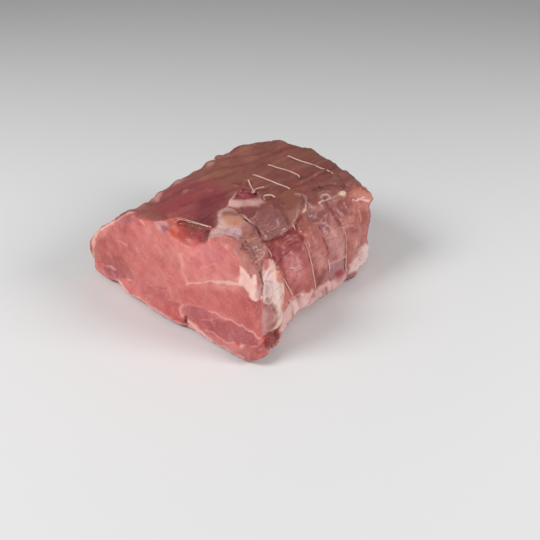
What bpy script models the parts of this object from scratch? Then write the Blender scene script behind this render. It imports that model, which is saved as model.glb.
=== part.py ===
"""A raw boneless pork collar roast, tied with butcher's twine, in metres, +Z up.

The roast lies on its flat base. Its length runs along Y, with the fresh cut face at -Y, and the origin is
on the base, at the middle of the bounding box. A block of cells is pressed into the cross-sections that
the loops of twine pull the meat into. The meat swells out between the loops.
"""

import math
from collections import namedtuple

import bmesh
import bpy
from mathutils import Matrix, Vector

MM = 0.001

# Twine
TWINE_RADIUS = 0.75 * MM
TWINE_GAP = 0.45 * MM  # air left between the twine and the meat
TIE_PLACES = [-59.0, -30.0, -8.5, 8.0, 25.5, 44.0]  # along Y on the right side, in millimetres
SECOND_PLACE = TIE_PLACES[1]
SLANT = 3.5  # how much further forward the loops lie on the left than on the right side
KNOTTED_TIE = 3
KNOT_RADIUS = 1.6 * MM

# The knotted tie's tails, as points in millimetres
TAILS = [
    [(18.0, -10.9, 63.6), (16.6, -9.6, 66.6), (12.0, -7.2, 67.8), (8.0, -4.6, 68.0)],
    [(18.0, -10.9, 63.6), (19.0, -9.9, 66.8), (20.2, -7.6, 67.6), (21.6, -4.8, 67.6)],
    [(27.0, -10.2, 60.9), (26.9, -10.7, 63.9), (28.0, -11.4, 66.2), (31.0, -9.4, 66.8), (34.0, -9.0, 66.2)],
]

# The block of cells that is pressed into the meat's form
CELLS_ACROSS = 26
CELLS_UP = 12
GROOVE_FLOOR = 1.15  # half the width of a groove's floor, in millimetres
GROOVE_LIP = 3.0  # half the width of a groove at its lips
FRONT_PLACES = [-74.0, -73.2, -70.8, -66.5]
BACK_PLACES = [51.5, 57.0, 62.0, 66.5, 69.7, 71.5, 72.5]

# The cross-section that each loop of twine pulls the meat into, as places (across X, up Z) in millimetres on
# the twine's centre line. They go from the left foot over the top to the right foot.
Section = namedtuple("Section", "y foot_left nose cheek brow rise crown ridge shoulder flank hip foot_right")
SECTIONS = [
    Section(
        y=-57, foot_left=-58, nose=(-71.5, 14), cheek=(-67, 27), brow=(-54, 39.5), rise=(-28, 57),
        crown=(3, 61), ridge=(42, 67), shoulder=(61.5, 61.5), flank=(69, 40), hip=(71.5, 18), foot_right=68,
    ),
    Section(
        y=-30, foot_left=-60, nose=(-72, 16), cheek=(-68, 30), brow=(-55.5, 43), rise=(-32, 59),
        crown=(-2, 63), ridge=(22, 61), shoulder=(38.5, 50.5), flank=(52, 36), hip=(59.5, 18), foot_right=58.5,
    ),
    Section(
        y=-8.5, foot_left=-60, nose=(-72, 18), cheek=(-69, 32.5), brow=(-57, 45.5), rise=(-35, 60.5),
        crown=(-2, 65), ridge=(22, 62.5), shoulder=(44.5, 52), flank=(58, 38), hip=(62.5, 18), foot_right=58,
    ),
    Section(
        y=8, foot_left=-60, nose=(-72.5, 19), cheek=(-70, 34), brow=(-59, 46.5), rise=(-36, 61),
        crown=(-2, 66), ridge=(29, 66), shoulder=(48, 54.5), flank=(60, 36.5), hip=(62, 16), foot_right=57.5,
    ),
    Section(
        y=44, foot_left=-57, nose=(-72, 20), cheek=(-69, 37), brow=(-60, 51), rise=(-36, 64),
        crown=(-2, 67), ridge=(32, 66.3), shoulder=(49.5, 56), flank=(60.5, 38), hip=(58, 15), foot_right=52,
    ),
]
BASE_LINE = 1.5  # height of the twine's centre line under the meat

# Where the four sides of a section meet: left foot, brow, shoulder and right foot
CORNERS = (0, 3, 7, 10)

# Radii of the rounded back end, seen from above at the left and right, and from the side at the top
BACK_LEFT = 20.0
BACK_RIGHT = 31.0
BACK_TOP = 12.0
BACK_TOP_RIGHT = 27.0
RIM = 2.6  # radius of the rim round the cut face

# Places where the meat is pushed in or stands out: what it is, its middle, its reach along each axis and
# how far it is pushed, all in millimetres
RELIEF = [
    ("hollow in the cut face's upper edge", (27, -74, 64), (17, 12, 12), (-1, 3.5, -6.5)),
    ("upper edge sagging on the left", (-4, -74, 64), (14, 9, 9), (0, 2.5, -1.5)),
    ("corner of the fold beside the hollow", (54, -66, 70), (12, 12, 14), (1, 0, 2.5)),
    ("fold's brown tongue, bent over the corner", (55, -48, 62), (12, 7, 14), (2.5, 0, 2.5)),
    ("dark pocket behind the fold", (18, -18, 66), (13, 6, 10), (0, 0, -2.5)),
    ("rim of the pocket", (24, -27, 64), (11, 5, 10), (0, 0, 2.5)),
    ("rolled muscle beside the pocket", (42, -18, 58), (11, 8, 10), (2.0, 0, 2.5)),
    ("lump of fat under the tongue", (68, -46, 40), (14, 8, 14), (3.0, 0, 0)),
    ("muscle's foot, furthest forward", (4, -75, 0), (28, 8, 16), (0, -4.5, 0)),
    ("notch where two muscles meet at the foot", (23, -75, 0), (4.5, 6, 6), (0, 3.5, 1.5)),
    ("outer muscle's foot", (-34, -75, 0), (18, 8, 14), (0, -2.0, 0)),
    ("lobe at the cut face's far left", (-74, -70, 20), (9, 7, 7), (-1.8, 0, 0)),
    ("crease under the far left lobe", (-74, -70, 12), (9, 7, 4), (2.0, 0, 0)),
    ("small lobe low on the left", (-70, -70, 6), (9, 7, 5), (-1.6, 0, 0)),
    ("back end, plumpest in its middle", (0, 74, 32), (55, 12, 26), (0, 4.0, 0)),
    ("back lobe on the right", (58, 60, 50), (14, 8, 9), (8.0, 0, 2.0)),
    ("step along the right side", (52, -8, 47), (9, 20, 5), (-1.5, 0, -1.0)),
]

# The fold of meat and fat that laps over the upper right corner: its free edge seen from above, and how far
# it stands up
FOLD_EDGE = [(9, -17), (20, -34), (23, -47), (33, -57), (43, -72)]
FOLD_HEIGHT = 2.4

SPLINE_STEPS = 8


def clear_scene():
    for old in list(bpy.data.objects):
        bpy.data.objects.remove(old)


def smooth_step(low, high, value):
    t = min(1.0, max(0.0, (value - low) / (high - low)))
    return t * t * (3 - 2 * t)


def outline_of(section):
    """The section's places as one row of points, feet included."""
    _, foot_left, *places, foot_right = section
    return [(foot_left, BASE_LINE), *places, (foot_right, BASE_LINE)]


def outline_at(y):
    """The outline where twine would lie at that place along Y, blended between the sections."""
    if y <= SECTIONS[0].y:
        return outline_of(SECTIONS[0])
    for near, far in zip(SECTIONS, SECTIONS[1:]):
        if y <= far.y:
            w = smooth_step(near.y, far.y, y)
            return [
                ((1 - w) * a + w * c, (1 - w) * b + w * d)
                for (a, b), (c, d) in zip(outline_of(near), outline_of(far))
            ]
    return outline_of(SECTIONS[-1])


def spline_point(before, start, end, after, t):
    """A point of the Catmull-Rom curve between start and end."""
    return tuple(
        0.5 * (2 * s + (e - b) * t + (2 * b - 5 * s + 4 * e - a) * t**2 + (3 * s - b - 3 * e + a) * t**3)
        for b, s, e, a in zip(before, start, end, after)
    )


def side_curve(points, first, last):
    """Dense points of the closed curve through the outline, from one corner to the next."""
    count = len(points)
    curve = []
    for i in range(first, last):
        around = [points[(i + k) % count] for k in (-1, 0, 1, 2)]
        curve += [spline_point(*around, step / SPLINE_STEPS) for step in range(SPLINE_STEPS)]
    return [(x, max(z, BASE_LINE)) for x, z in curve + [points[last]]]


def evenly(curve, cells):
    """The curve's points at equal distances along it."""
    lengths = [0.0]
    for (x0, z0), (x1, z1) in zip(curve, curve[1:]):
        lengths.append(lengths[-1] + math.hypot(x1 - x0, z1 - z0))
    spaced = []
    segment = 0
    for i in range(cells + 1):
        target = lengths[-1] * i / cells
        while segment < len(curve) - 2 and lengths[segment + 1] < target:
            segment += 1
        span = lengths[segment + 1] - lengths[segment]
        t = (target - lengths[segment]) / span
        (x0, z0), (x1, z1) = curve[segment], curve[segment + 1]
        spaced.append((x0 + t * (x1 - x0), z0 + t * (z1 - z0)))
    return spaced


def sides_at(y):
    """The four sides of the cross-section: left and right run upwards, base and top to the right."""
    points = outline_at(y)
    foot_left, brow, shoulder, foot_right = CORNERS
    left = evenly(side_curve(points, foot_left, brow), CELLS_UP)
    top = evenly(side_curve(points, brow, shoulder), CELLS_ACROSS)
    right = evenly(side_curve(points, shoulder, foot_right), CELLS_UP)[::-1]
    base = evenly([points[foot_left], points[foot_right]], CELLS_ACROSS)
    return left, right, base, top


def patch_point(sides, i, k):
    """A point inside the cross-section, blended from its four sides."""
    left, right, base, top = sides
    s, t = i / CELLS_ACROSS, k / CELLS_UP
    return tuple(
        (1 - s) * left[k][n] + s * right[k][n] + (1 - t) * base[i][n] + t * top[i][n]
        - (1 - s) * (1 - t) * base[0][n] - s * (1 - t) * base[-1][n]
        - (1 - s) * t * top[0][n] - s * t * top[-1][n]
        for n in (0, 1)
    )


def cut_places():
    """Where the block is cut along Y: close together at the ends and on each side of the twine."""
    places = list(FRONT_PLACES)
    for before, here in zip([None] + TIE_PLACES, TIE_PLACES):
        if before is not None:
            low, high = before + GROOVE_LIP, here - GROOVE_LIP
            steps = 4 if high - low > 20 else 3
            places += [low + (high - low) * n / steps for n in range(1, steps)]
        places += [here + d for d in (-GROOVE_LIP, -GROOVE_FLOOR, GROOVE_FLOOR, GROOVE_LIP)]
    return places + BACK_PLACES


def quarter_circle(depth, radius):
    """How far a rounded edge of that radius has drawn in, at that depth into the rounding."""
    depth = min(max(0.0, depth), 0.985 * radius)
    return radius - math.sqrt(radius**2 - depth**2)


def draw_in(x, y, z):
    """The cut edge and the rounded back end, drawn in from the outline."""
    rim = 0.8 * quarter_circle(FRONT_PLACES[0] + RIM - y, RIM)
    end = BACK_PLACES[-1]
    left = quarter_circle(y - (end - BACK_LEFT), BACK_LEFT) * smooth_step(0, -60, x)
    right = quarter_circle(y - (end - BACK_RIGHT), BACK_RIGHT) * smooth_step(0, 60, x)
    top_radius = BACK_TOP + (BACK_TOP_RIGHT - BACK_TOP) * smooth_step(-5, 42, x)
    up = quarter_circle(y - (end - top_radius), top_radius) * (z - 30) / 35
    sideways = 0.85 * (left - right)
    return x + sideways - rim * x / 70, z - 0.8 * up - rim * (z - 30) / 32


def slant(x, y):
    """How much further forward the meat and its twine lie on the left: nothing at the cut face."""
    return -SLANT * smooth_step(48, 5, x) * smooth_step(FRONT_PLACES[0], SECOND_PLACE, y)


def fold_lift(x, y, z):
    """The lapped fold's thickness: nothing to the left of its free edge, fading to the right and the back."""
    place = min(max(y, FOLD_EDGE[-1][1]), FOLD_EDGE[0][1])
    for (x0, y0), (x1, y1) in zip(FOLD_EDGE, FOLD_EDGE[1:]):
        if y1 <= place <= y0:
            edge = x0 + (x1 - x0) * (place - y0) / (y1 - y0)
    lapped = smooth_step(-1.5, 2.5, x - edge) * smooth_step(30, 12, x - edge)
    begun = smooth_step(FOLD_EDGE[0][1] + 4, FOLD_EDGE[0][1] - 6, y)
    return FOLD_HEIGHT * lapped * begun * smooth_step(40, 55, z)


def relief_push(point):
    """What the fold and the named dents and lumps move this place of the meat by."""
    push = Vector((0, 0, fold_lift(*point)))
    for _, middle, reach, amount in RELIEF:
        far = sum(((p - m) / r) ** 2 for p, m, r in zip(point, middle, reach))
        push += Vector(amount) * math.exp(-1.4 * far)
    return push


def swell(x, z, y):
    """How far the meat stands out from the twine's line, or lies under it in a groove."""
    nearest = min(abs(y - t) for t in TIE_PLACES)
    if nearest <= GROOVE_FLOOR + 0.01:
        return -(TWINE_RADIUS + TWINE_GAP) / MM
    low = max([t for t in TIE_PLACES if t <= y], default=None)
    high = min([t for t in TIE_PLACES if t > y], default=None)
    side = smooth_step(15, 50, x) * smooth_step(2, 14, z)
    fullness = 1.1 + 2.4 * side
    if low is None or high is None:
        return 0.7 * fullness * smooth_step(0, 7, nearest)
    middle = (y - low) / (high - low)
    return fullness * math.sin(math.pi * middle) ** 0.6


def pressed_block():
    """The block of cells, pressed into the outlines and swollen between the loops of twine."""
    places = cut_places()
    cells_along = len(places) - 1
    bm = bmesh.new()
    bmesh.ops.create_cube(bm, size=2)
    for axis, cells in enumerate((CELLS_ACROSS, cells_along, CELLS_UP)):
        along = [
            e for e in bm.edges
            if abs(e.verts[0].co[axis] - e.verts[1].co[axis]) > 1.9
        ]
        bmesh.ops.subdivide_edges(bm, edges=along, cuts=cells - 1, use_grid_fill=True)
    sides = [sides_at(y) for y in places]
    for v in bm.verts:
        i, j, k = (
            round((c + 1) / 2 * cells)
            for c, cells in zip(v.co, (CELLS_ACROSS, cells_along, CELLS_UP))
        )
        y = places[j]
        x, z = patch_point(sides[j], i, k)
        x, z = draw_in(x, y, z)
        v.co = Vector((x, y, z))
    bm.normal_update()
    outward = {v: v.normal.copy() for v in bm.verts}
    for v, normal in outward.items():
        x, y, z = v.co
        nearest = min(abs(y - t) for t in TIE_PLACES)
        away = smooth_step(GROOVE_FLOOR, GROOVE_LIP + 2.5, nearest)
        on_base = z < 2.2 and normal.z < -0.6
        if FRONT_PLACES[0] < y < BACK_PLACES[-1]:
            normal.y = 0
            normal.normalize()
            v.co += normal * swell(x, z, y)
        if not on_base:
            v.co += relief_push((x, y, z)) * away
        if on_base and away > 0.05:
            v.co.z = 0
        v.co.y += slant(x, y)
    for v in bm.verts:
        v.co *= MM
    bmesh.ops.recalc_face_normals(bm, faces=bm.faces)
    mesh = bpy.data.meshes.new("pork_collar")
    bm.to_mesh(mesh)
    bm.free()
    return mesh


def plain_material(name, colour, roughness):
    material = bpy.data.materials.new(name)
    material.use_nodes = True
    shader = material.node_tree.nodes["Principled BSDF"]
    shader.inputs["Base Color"].default_value = (*colour, 1.0)
    shader.inputs["Roughness"].default_value = roughness
    shader.inputs["Metallic"].default_value = 0.0
    return material


def tube(points, radius, closed):
    """A bent round bar through the points, with filled ends."""
    curve = bpy.data.curves.new("twine", "CURVE")
    curve.dimensions = "3D"
    curve.bevel_depth = radius
    curve.bevel_resolution = 1
    curve.use_fill_caps = not closed
    spline = curve.splines.new("POLY")
    spline.points.add(len(points) - 1)
    for made, place in zip(spline.points, points):
        made.co = (*place, 1)
    spline.use_cyclic_u = closed
    bent = bpy.data.objects.new("twine", curve)
    bpy.context.collection.objects.link(bent)
    mesh = bpy.data.meshes.new_from_object(bent.evaluated_get(bpy.context.evaluated_depsgraph_get()))
    bpy.data.objects.remove(bent)
    bm = bmesh.new()
    bm.from_mesh(mesh)
    bmesh.ops.remove_doubles(bm, verts=bm.verts, dist=0.01 * MM)
    bmesh.ops.recalc_face_normals(bm, faces=bm.faces)
    bm.to_mesh(mesh)
    bm.free()
    return mesh


def rounded_path(corners, steps):
    """Points of the smooth curve through the corners."""
    ends = [corners[0]] + corners + [corners[-1]]
    path = []
    for i in range(len(corners) - 1):
        path += [spline_point(*ends[i : i + 4], n / steps) for n in range(steps)]
    return path + [corners[-1]]


def add_object(name, mesh, material):
    made = bpy.data.objects.new(name, mesh)
    mesh.materials.clear()
    mesh.materials.append(material)
    mesh.shade_smooth()
    bpy.context.collection.objects.link(made)
    return made


def join_solids(whole, pieces):
    """The pieces, united with the whole into one closed body."""
    for mesh in pieces:
        piece = bpy.data.objects.new("piece", mesh)
        bpy.context.collection.objects.link(piece)
        union = whole.modifiers.new("union", "BOOLEAN")
        union.operation = "UNION"
        union.solver = "EXACT"
        union.object = piece
        united = bpy.data.meshes.new_from_object(
            whole.evaluated_get(bpy.context.evaluated_depsgraph_get())
        )
        whole.modifiers.clear()
        whole.data = united
        bpy.data.objects.remove(piece)


def knot():
    """The small hitch that the tails come out of."""
    x, y, z = (c * MM for c in TAILS[0][0])
    bm = bmesh.new()
    bmesh.ops.create_uvsphere(bm, u_segments=12, v_segments=8, radius=KNOT_RADIUS)
    bmesh.ops.scale(bm, vec=(1.35, 1.0, 0.85), verts=bm.verts)
    bmesh.ops.translate(bm, vec=(x, y, z + 1.3 * MM), verts=bm.verts)
    mesh = bpy.data.meshes.new("knot")
    bm.to_mesh(mesh)
    bm.free()
    return mesh


def tie_of_twine(number, y, material):
    """One loop of twine round the meat, in its groove."""
    left, right, base, top = sides_at(y)
    loop = left[:-1] + top[:-1] + right[::-1][:-1] + base[::-1][:-1]
    places = [(x * MM, (y + slant(x, y)) * MM, z * MM) for x, z in loop]
    tie = add_object(f"twine_tie_{number}", tube(places, TWINE_RADIUS, True), material)
    if number == KNOTTED_TIE:
        tails = [[tuple(c * MM for c in p) for p in rounded_path(tail, 4)] for tail in TAILS]
        join_solids(tie, [tube(tail, TWINE_RADIUS, False) for tail in tails] + [knot()])


def rest_at_origin():
    """Move everything so that the origin is at the middle of the bounding box's base."""
    corners = [o.matrix_world @ Vector(c) for o in bpy.data.objects for c in o.bound_box]
    low = [min(c[n] for c in corners) for n in range(3)]
    high = [max(c[n] for c in corners) for n in range(3)]
    shift = Vector((-(low[0] + high[0]) / 2, -(low[1] + high[1]) / 2, -low[2]))
    for o in bpy.data.objects:
        o.data.transform(Matrix.Translation(shift))


def main():
    clear_scene()
    meat = plain_material("raw_pork", (0.60, 0.23, 0.20), 0.45)
    twine = plain_material("cotton_twine", (0.72, 0.55, 0.46), 0.85)
    mesh = pressed_block()
    add_object("pork_collar", mesh, meat)
    for number, y in enumerate(TIE_PLACES, 1):
        tie_of_twine(number, y, twine)
    bpy.context.view_layer.update()
    rest_at_origin()


main()
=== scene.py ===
import math

import bmesh
import bpy
import numpy as np
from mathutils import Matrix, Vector, noise
from mathutils.bvhtree import BVHTree


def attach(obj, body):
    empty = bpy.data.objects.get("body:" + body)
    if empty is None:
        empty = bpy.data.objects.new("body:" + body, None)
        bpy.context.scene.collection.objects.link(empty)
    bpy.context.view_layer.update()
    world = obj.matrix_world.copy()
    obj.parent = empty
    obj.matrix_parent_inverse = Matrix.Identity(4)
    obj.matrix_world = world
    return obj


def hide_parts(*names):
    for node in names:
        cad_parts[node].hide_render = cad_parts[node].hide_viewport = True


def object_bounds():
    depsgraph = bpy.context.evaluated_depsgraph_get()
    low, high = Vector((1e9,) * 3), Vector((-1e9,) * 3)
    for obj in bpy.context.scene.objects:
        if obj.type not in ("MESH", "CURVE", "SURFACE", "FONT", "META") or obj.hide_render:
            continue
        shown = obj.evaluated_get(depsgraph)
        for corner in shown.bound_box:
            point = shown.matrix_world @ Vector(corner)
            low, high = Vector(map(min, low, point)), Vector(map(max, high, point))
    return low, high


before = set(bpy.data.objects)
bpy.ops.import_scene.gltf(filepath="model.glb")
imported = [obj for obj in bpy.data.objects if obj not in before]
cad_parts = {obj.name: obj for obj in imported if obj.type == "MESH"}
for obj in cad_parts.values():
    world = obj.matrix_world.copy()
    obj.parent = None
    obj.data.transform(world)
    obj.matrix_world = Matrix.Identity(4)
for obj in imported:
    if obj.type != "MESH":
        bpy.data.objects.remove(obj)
cad_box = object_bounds()

# Camera
# The joint is seen from the corner between its cut face and its tied side, a little above it, with a
# lens of ordinary length. Places and sizes in the view are in pixels of a 540 by 540 picture.
EYE = Vector((0.2665, -0.2724, 0.236))
TURN = math.radians(42.0)
PICTURE = 540.0
MIDDLE = PICTURE / 2
FOCAL = 659.0
HORIZON = 410.0  # how far the horizon lies above the middle of the view
TILT = math.atan2(HORIZON, FOCAL)
SENSOR = 36.0

camera_data = bpy.data.cameras.new("camera")
camera_data.sensor_width = SENSOR
camera_data.lens = FOCAL / PICTURE * SENSOR
camera = bpy.data.objects.new("camera", camera_data)
camera.location = EYE
camera.rotation_euler = (math.pi / 2 - TILT, 0.0, TURN)
bpy.context.collection.objects.link(camera)
bpy.context.scene.camera = camera

# Meat
# The boned collar of a pig, rolled by hand and laid on its flat underside. It is one piece of muscle and
# fat: the near end is freshly cut, the top has dried to a dull brown, and a thin fold of fat laps over the
# near right corner. The twine draws it into ridges.
MM = 0.001
TIE_LINES = [-56.93, -27.93, -6.43, 10.07, 27.57, 46.07]  # where each loop lies along Y on the right side
BOW = [0.0, 1.0, 1.8, 0.6, 2.5, 3.0]  # how far each loop bows back, halfway up the right side
SHOULDER = [0.0, 0.0, 0.0, 3.0, 3.6, 1.5]  # and how far it leans forward where the side turns into the top
FOOT = [0.0, 5.0, 0.0, 0.0, 0.0, 0.0]  # and how much further back it runs low on the side
KINKS = {3: 17.0, 4: 13.5, 5: 18.5}  # where along X a loop has a small kink on the top
LEFT_LEAN = 3.5  # how much further forward the loops lie on the left of the top
FAR_END = cad_box[1][1] / MM
SHOWN_LIMIT = -0.05  # how far a face may turn from the eye and still count as shown
SEAM_REACH = 1.8  # how wide the finer faces along a seam are, in the view
LOOP_REACH = 1.3  # and along a loop, in millimetres
RIGHT_SIDE = 36  # where the right side begins along X
FINE_LOOPS = -20  # the loops beyond this place along Y get finer faces
FACE_ROUNDING = 0.6
VOXEL = 1.98
SMOOTHING_ROUNDS = 3

# The directions of the view
RIGHT = np.array([math.cos(TURN), math.sin(TURN), 0.0])
AHEAD = np.array([-math.sin(TURN) * math.cos(TILT), math.cos(TURN) * math.cos(TILT), -math.sin(TILT)])
UP = np.cross(RIGHT, AHEAD)
# The part of the view with the finest forms: the fold and the fat on the near right corner
CORNER = [
    (206, 196), (232, 188), (262, 188), (290, 208), (292, 262), (290, 330), (262, 338), (238, 300),
    (234, 262), (206, 240),
]
# Where each loop shows, as lines in the view, from the top down the right side
SHOWN = [
    [[(181.5, 219.6), (193.9, 223.8), (217, 227)]],
    [[(246, 218.4), (250, 222)], [(267.6, 251.5), (271.2, 255.1)],
     [(284, 279), (288.5, 289), (291.5, 297.7)]],
    [[(290, 224.6), (294, 229)],
     [(303.6, 243), (305.4, 247), (310.8, 257), (313.5, 266), (315, 280), (314.6, 287.7)]],
    [[(255.4, 176.2), (274.3, 182.3), (290.1, 186.6)], [(328.5, 261), (329, 267), (327.7, 272)]],
    [[(270.7, 166.3), (286.5, 170.6), (301.3, 173.7)],
     [(340, 229), (345.4, 241.5), (347.7, 252), (346.5, 269.2), (344.6, 278.5)]],
    [[(289.6, 158.2), (309, 163.4), (313, 165.4), (332, 171.3)]],
]

# The cut face as seen, and its threads of fat: points in the view, width, softness, strength, colour, rise
CUT_FACE = [
    (88, 238), (96, 235), (106.4, 226.4), (120.7, 217.9), (132, 212.9), (134, 215), (138, 219),
    (148, 220.7), (165, 221.4), (168, 218.6), (176.4, 219.3), (185, 223.6), (199, 226.4), (210.7, 228),
    (209.3, 235), (208.8, 240), (215, 236.5), (225, 235.6), (235, 238.8), (240, 243.8), (241, 248.8),
    (247.5, 255), (252.5, 262.5), (256, 268.8), (258, 280), (261, 290), (262, 300), (270, 304),
    (275, 318), (273, 335), (277.5, 340), (267, 353), (256, 364), (240, 362), (206, 342), (171, 328),
    (119, 286), (96, 275), (84, 255),
]
MAIN_SEAMS = 3  # the first few threads are the broad seam, with paler meat about it
FACE_LINES = [
    ([(181, 254), (182, 266), (184, 274), (188.5, 283)], 1.2, 1.6, 0.6, (242, 164, 154), 0.1),
    ([(188.5, 283), (200, 282.5), (212, 281.3), (221, 282)], 1.3, 0.9, 0.8, (246, 182, 172), 0.2),
    ([(218, 282.5), (230, 283), (241, 283.5)], 3.0, 1.0, 0.85, (244, 190, 178), 0.3),
    ([(236, 279), (240, 274), (241, 268)], 1.5, 1.2, 0.6, (244, 188, 178), 0),
    ([(210, 311), (217, 312.5), (221, 316), (228, 319), (236, 323), (245, 328), (251, 331.5)], 0.9, 0.9,
     0.8, (240, 164, 154), 0.2),
    ([(249, 331), (255, 334.5), (260, 338.5)], 1.6, 1.0, 0.7, (242, 168, 156), 0.2),
    ([(222, 317.5), (212, 319), (200, 320)], 0.7, 0.9, 0.6, (228, 142, 138), 0.1),
    ([(183.5, 304.5), (180.3, 309), (180.8, 314), (184.3, 318)], 1.4, 0.9, 0.75, (234, 164, 154), 0.3),
    ([(170, 299), (177, 301.5), (184, 304.5), (196, 305.5), (210, 311)], 0.6, 1.0, 0.5, (226, 146, 136),
     0.1),
    ([(207, 330), (213, 333), (219.5, 337.5), (226, 342), (236, 342.5)], 1.3, 1.0, 0.7, (234, 160, 152),
     0.2),
    ([(237, 343), (250, 346.4), (257.5, 346), (263, 341), (265, 337)], 1.0, 1.0, 0.6, (226, 146, 136),
     0.2),
    ([(119, 240), (123, 242.5), (127, 244)], 1.0, 1.0, 0.65, (234, 156, 148), 0.1),
    ([(144, 252), (148, 258)], 0.7, 1.0, 0.5, (230, 154, 146), 0.1),
    ([(170, 275), (175, 281), (179, 286)], 0.8, 1.1, 0.55, (232, 150, 140), 0.1),
    ([(140.5, 220.5), (144, 224)], 0.9, 1.1, 0.7, (240, 172, 156), 0.1),
    ([(201, 268), (208, 266.8), (216, 264)], 0.7, 1.0, 0.55, (240, 158, 152), 0.1),
    ([(103, 264), (109, 265.8), (113, 267), (117, 269.5)], 0.9, 0.9, 0.75, (230, 160, 156), 0.3),
    ([(128, 279.8), (132, 280.3)], 0.8, 0.9, 0.7, (238, 178, 168), 0.1),
    ([(150, 230), (166, 250), (176, 266)], 0.6, 1.6, 0.35, (232, 150, 142), 0),
    ([(150, 290), (162, 308)], 0.5, 1.5, 0.25, (222, 140, 134), 0),
    ([(226, 244), (236, 252), (240, 262)], 0.8, 1.8, 0.4, (238, 156, 142), 0),
]


def ease(low, high, value):
    """0 below low and 1 above high, with a smooth rise between them; falls instead if low is above high."""
    t = np.clip((value - low) / (high - low), 0.0, 1.0)
    return t * t * (3 - 2 * t)


def in_view(places):
    """Where points of the meat, in metres, appear in the 540 by 540 view."""
    away = np.asarray(places) - np.array(EYE)
    depth = away @ AHEAD
    return np.stack([MIDDLE + FOCAL * (away @ RIGHT) / depth, MIDDLE - FOCAL * (away @ UP) / depth], 1)


def gap_to_line(at, points, closed=False):
    """How far places in the view are from a line through the given places."""
    places = np.array(points, float)
    gap = np.full(len(at), 1e9)
    ends = np.roll(places, -1, 0) if closed else places[1:]
    for a, b in zip(places, ends):
        along = b - a
        t = np.clip(((at - a) @ along) / (along @ along), 0, 1)
        gap = np.minimum(gap, np.linalg.norm(at - a - t[:, None] * along, axis=1))
    return gap


def is_inside(at, points):
    """Which places in the view lie inside an outline."""
    places = np.array(points, float)
    inner = np.zeros(len(at), bool)
    for a, b in zip(places, np.roll(places, -1, 0)):
        if a[1] != b[1]:
            cross = (b[0] - a[0]) * (at[:, 1] - a[1]) / (b[1] - a[1]) + a[0]
            inner ^= ((a[1] > at[:, 1]) != (b[1] > at[:, 1])) & (at[:, 0] < cross)
    return inner


def loop_place(number, x, z, bow=True):
    """Where a loop lies along Y at that place across and up: further forward on the left of the top, and
    bowed on the right side."""
    line = TIE_LINES[number]
    lean = -LEFT_LEAN * ease(45.4, 2.4, x) * ease(-71.9, -27.9, line)
    back = BOW[number] * ease(30, 50, x) * ease(58, 36, z)
    forward = SHOULDER[number] * ease(30, 42, x) * ease(64, 56, z) * ease(34, 44, z)
    low = FOOT[number] * ease(30, 50, x) * ease(34, 14, z)
    return line + lean + bow * (back - forward + low)


def vectors(data, field):
    """One vector for each point or corner of a mesh."""
    values = np.empty(len(data) * 3)
    data.foreach_get(field, values)
    return values.reshape(-1, 3)


def split_faces(bm, is_wanted):
    """Each face that is wanted, by its middle and its normal, becomes four, a little rounded."""
    middles = np.array([f.calc_center_median() for f in bm.faces])
    wanted = is_wanted(middles, np.array([f.normal for f in bm.faces]))
    edges = list({e for f, chosen in zip(bm.faces, wanted) if chosen for e in f.edges})
    bmesh.ops.subdivide_edges(bm, edges=edges, cuts=1, use_grid_fill=True, smooth=FACE_ROUNDING)
    bmesh.ops.triangulate(bm, faces=[f for f in bm.faces if len(f.verts) > 4])


def is_shown(middles, fronts):
    """Faces that look towards the eye."""
    away = np.array(EYE) - middles
    return (fronts * away).sum(1) > SHOWN_LIMIT * np.linalg.norm(away, axis=1)


def is_fine(middles, fronts):
    """Faces in the corner of the fold, along the seams of the near end, and along the loops on the right."""
    at = in_view(middles)
    fine = is_inside(at, CORNER) | (gap_to_line(at, CUT_FACE, closed=True) < SEAM_REACH)
    for points, *_ in FACE_LINES:
        fine |= gap_to_line(at, points) < SEAM_REACH
    across, along, up = (middles / MM).T
    for number in range(len(TIE_LINES)):
        near = np.abs(along - loop_place(number, across, up)) < LOOP_REACH
        fine |= (across > RIGHT_SIDE) & (along > FINE_LOOPS) & near
    return fine & is_shown(middles, fronts)


# The copy of the solid is rounded off, remeshed evenly, and refined where it faces the view.
JOIN_ANGLE = math.radians(60)
start = bpy.data.meshes.new("collar_copy")
bm = bmesh.new()
bm.from_mesh(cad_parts["pork_collar"].data)
bmesh.ops.remove_doubles(bm, verts=bm.verts, dist=0.01 * MM)
bmesh.ops.join_triangles(
    bm, faces=bm.faces, angle_face_threshold=JOIN_ANGLE, angle_shape_threshold=JOIN_ANGLE,
    cmp_seam=False, cmp_sharp=False, cmp_uvs=False, cmp_vcols=False, cmp_materials=False,
)
bm.to_mesh(start)
bm.free()
meat = bpy.data.objects.new("collar_meat", start)
bpy.context.collection.objects.link(meat)
rounding = meat.modifiers.new("rounding", "SUBSURF")
rounding.levels = rounding.render_levels = 2
evening = meat.modifiers.new("evening", "REMESH")
evening.mode = "VOXEL"
evening.voxel_size = VOXEL * MM
evened = meat.evaluated_get(bpy.context.evaluated_depsgraph_get())
meat_mesh = bpy.data.meshes.new_from_object(evened)
meat.modifiers.clear()
meat.data = meat_mesh

bm = bmesh.new()
bm.from_mesh(meat_mesh)
for _ in range(SMOOTHING_ROUNDS):
    bmesh.ops.smooth_vert(
        bm, verts=bm.verts, factor=0.5, use_axis_x=True, use_axis_y=True, use_axis_z=True,
    )
split_faces(bm, is_shown)
split_faces(bm, is_fine)
bm.to_mesh(meat_mesh)
bm.free()


def survey():
    """The places of the meat's points, their normals, how far they face the eye and where they are seen."""
    places = vectors(meat_mesh.vertices, "co")
    fronts = vectors(meat_mesh.vertex_normals, "vector")
    to_eye = np.array(EYE) - places
    to_eye /= np.linalg.norm(to_eye, axis=1)[:, None]
    return places, fronts, (fronts * to_eye).sum(1), in_view(places)


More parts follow.
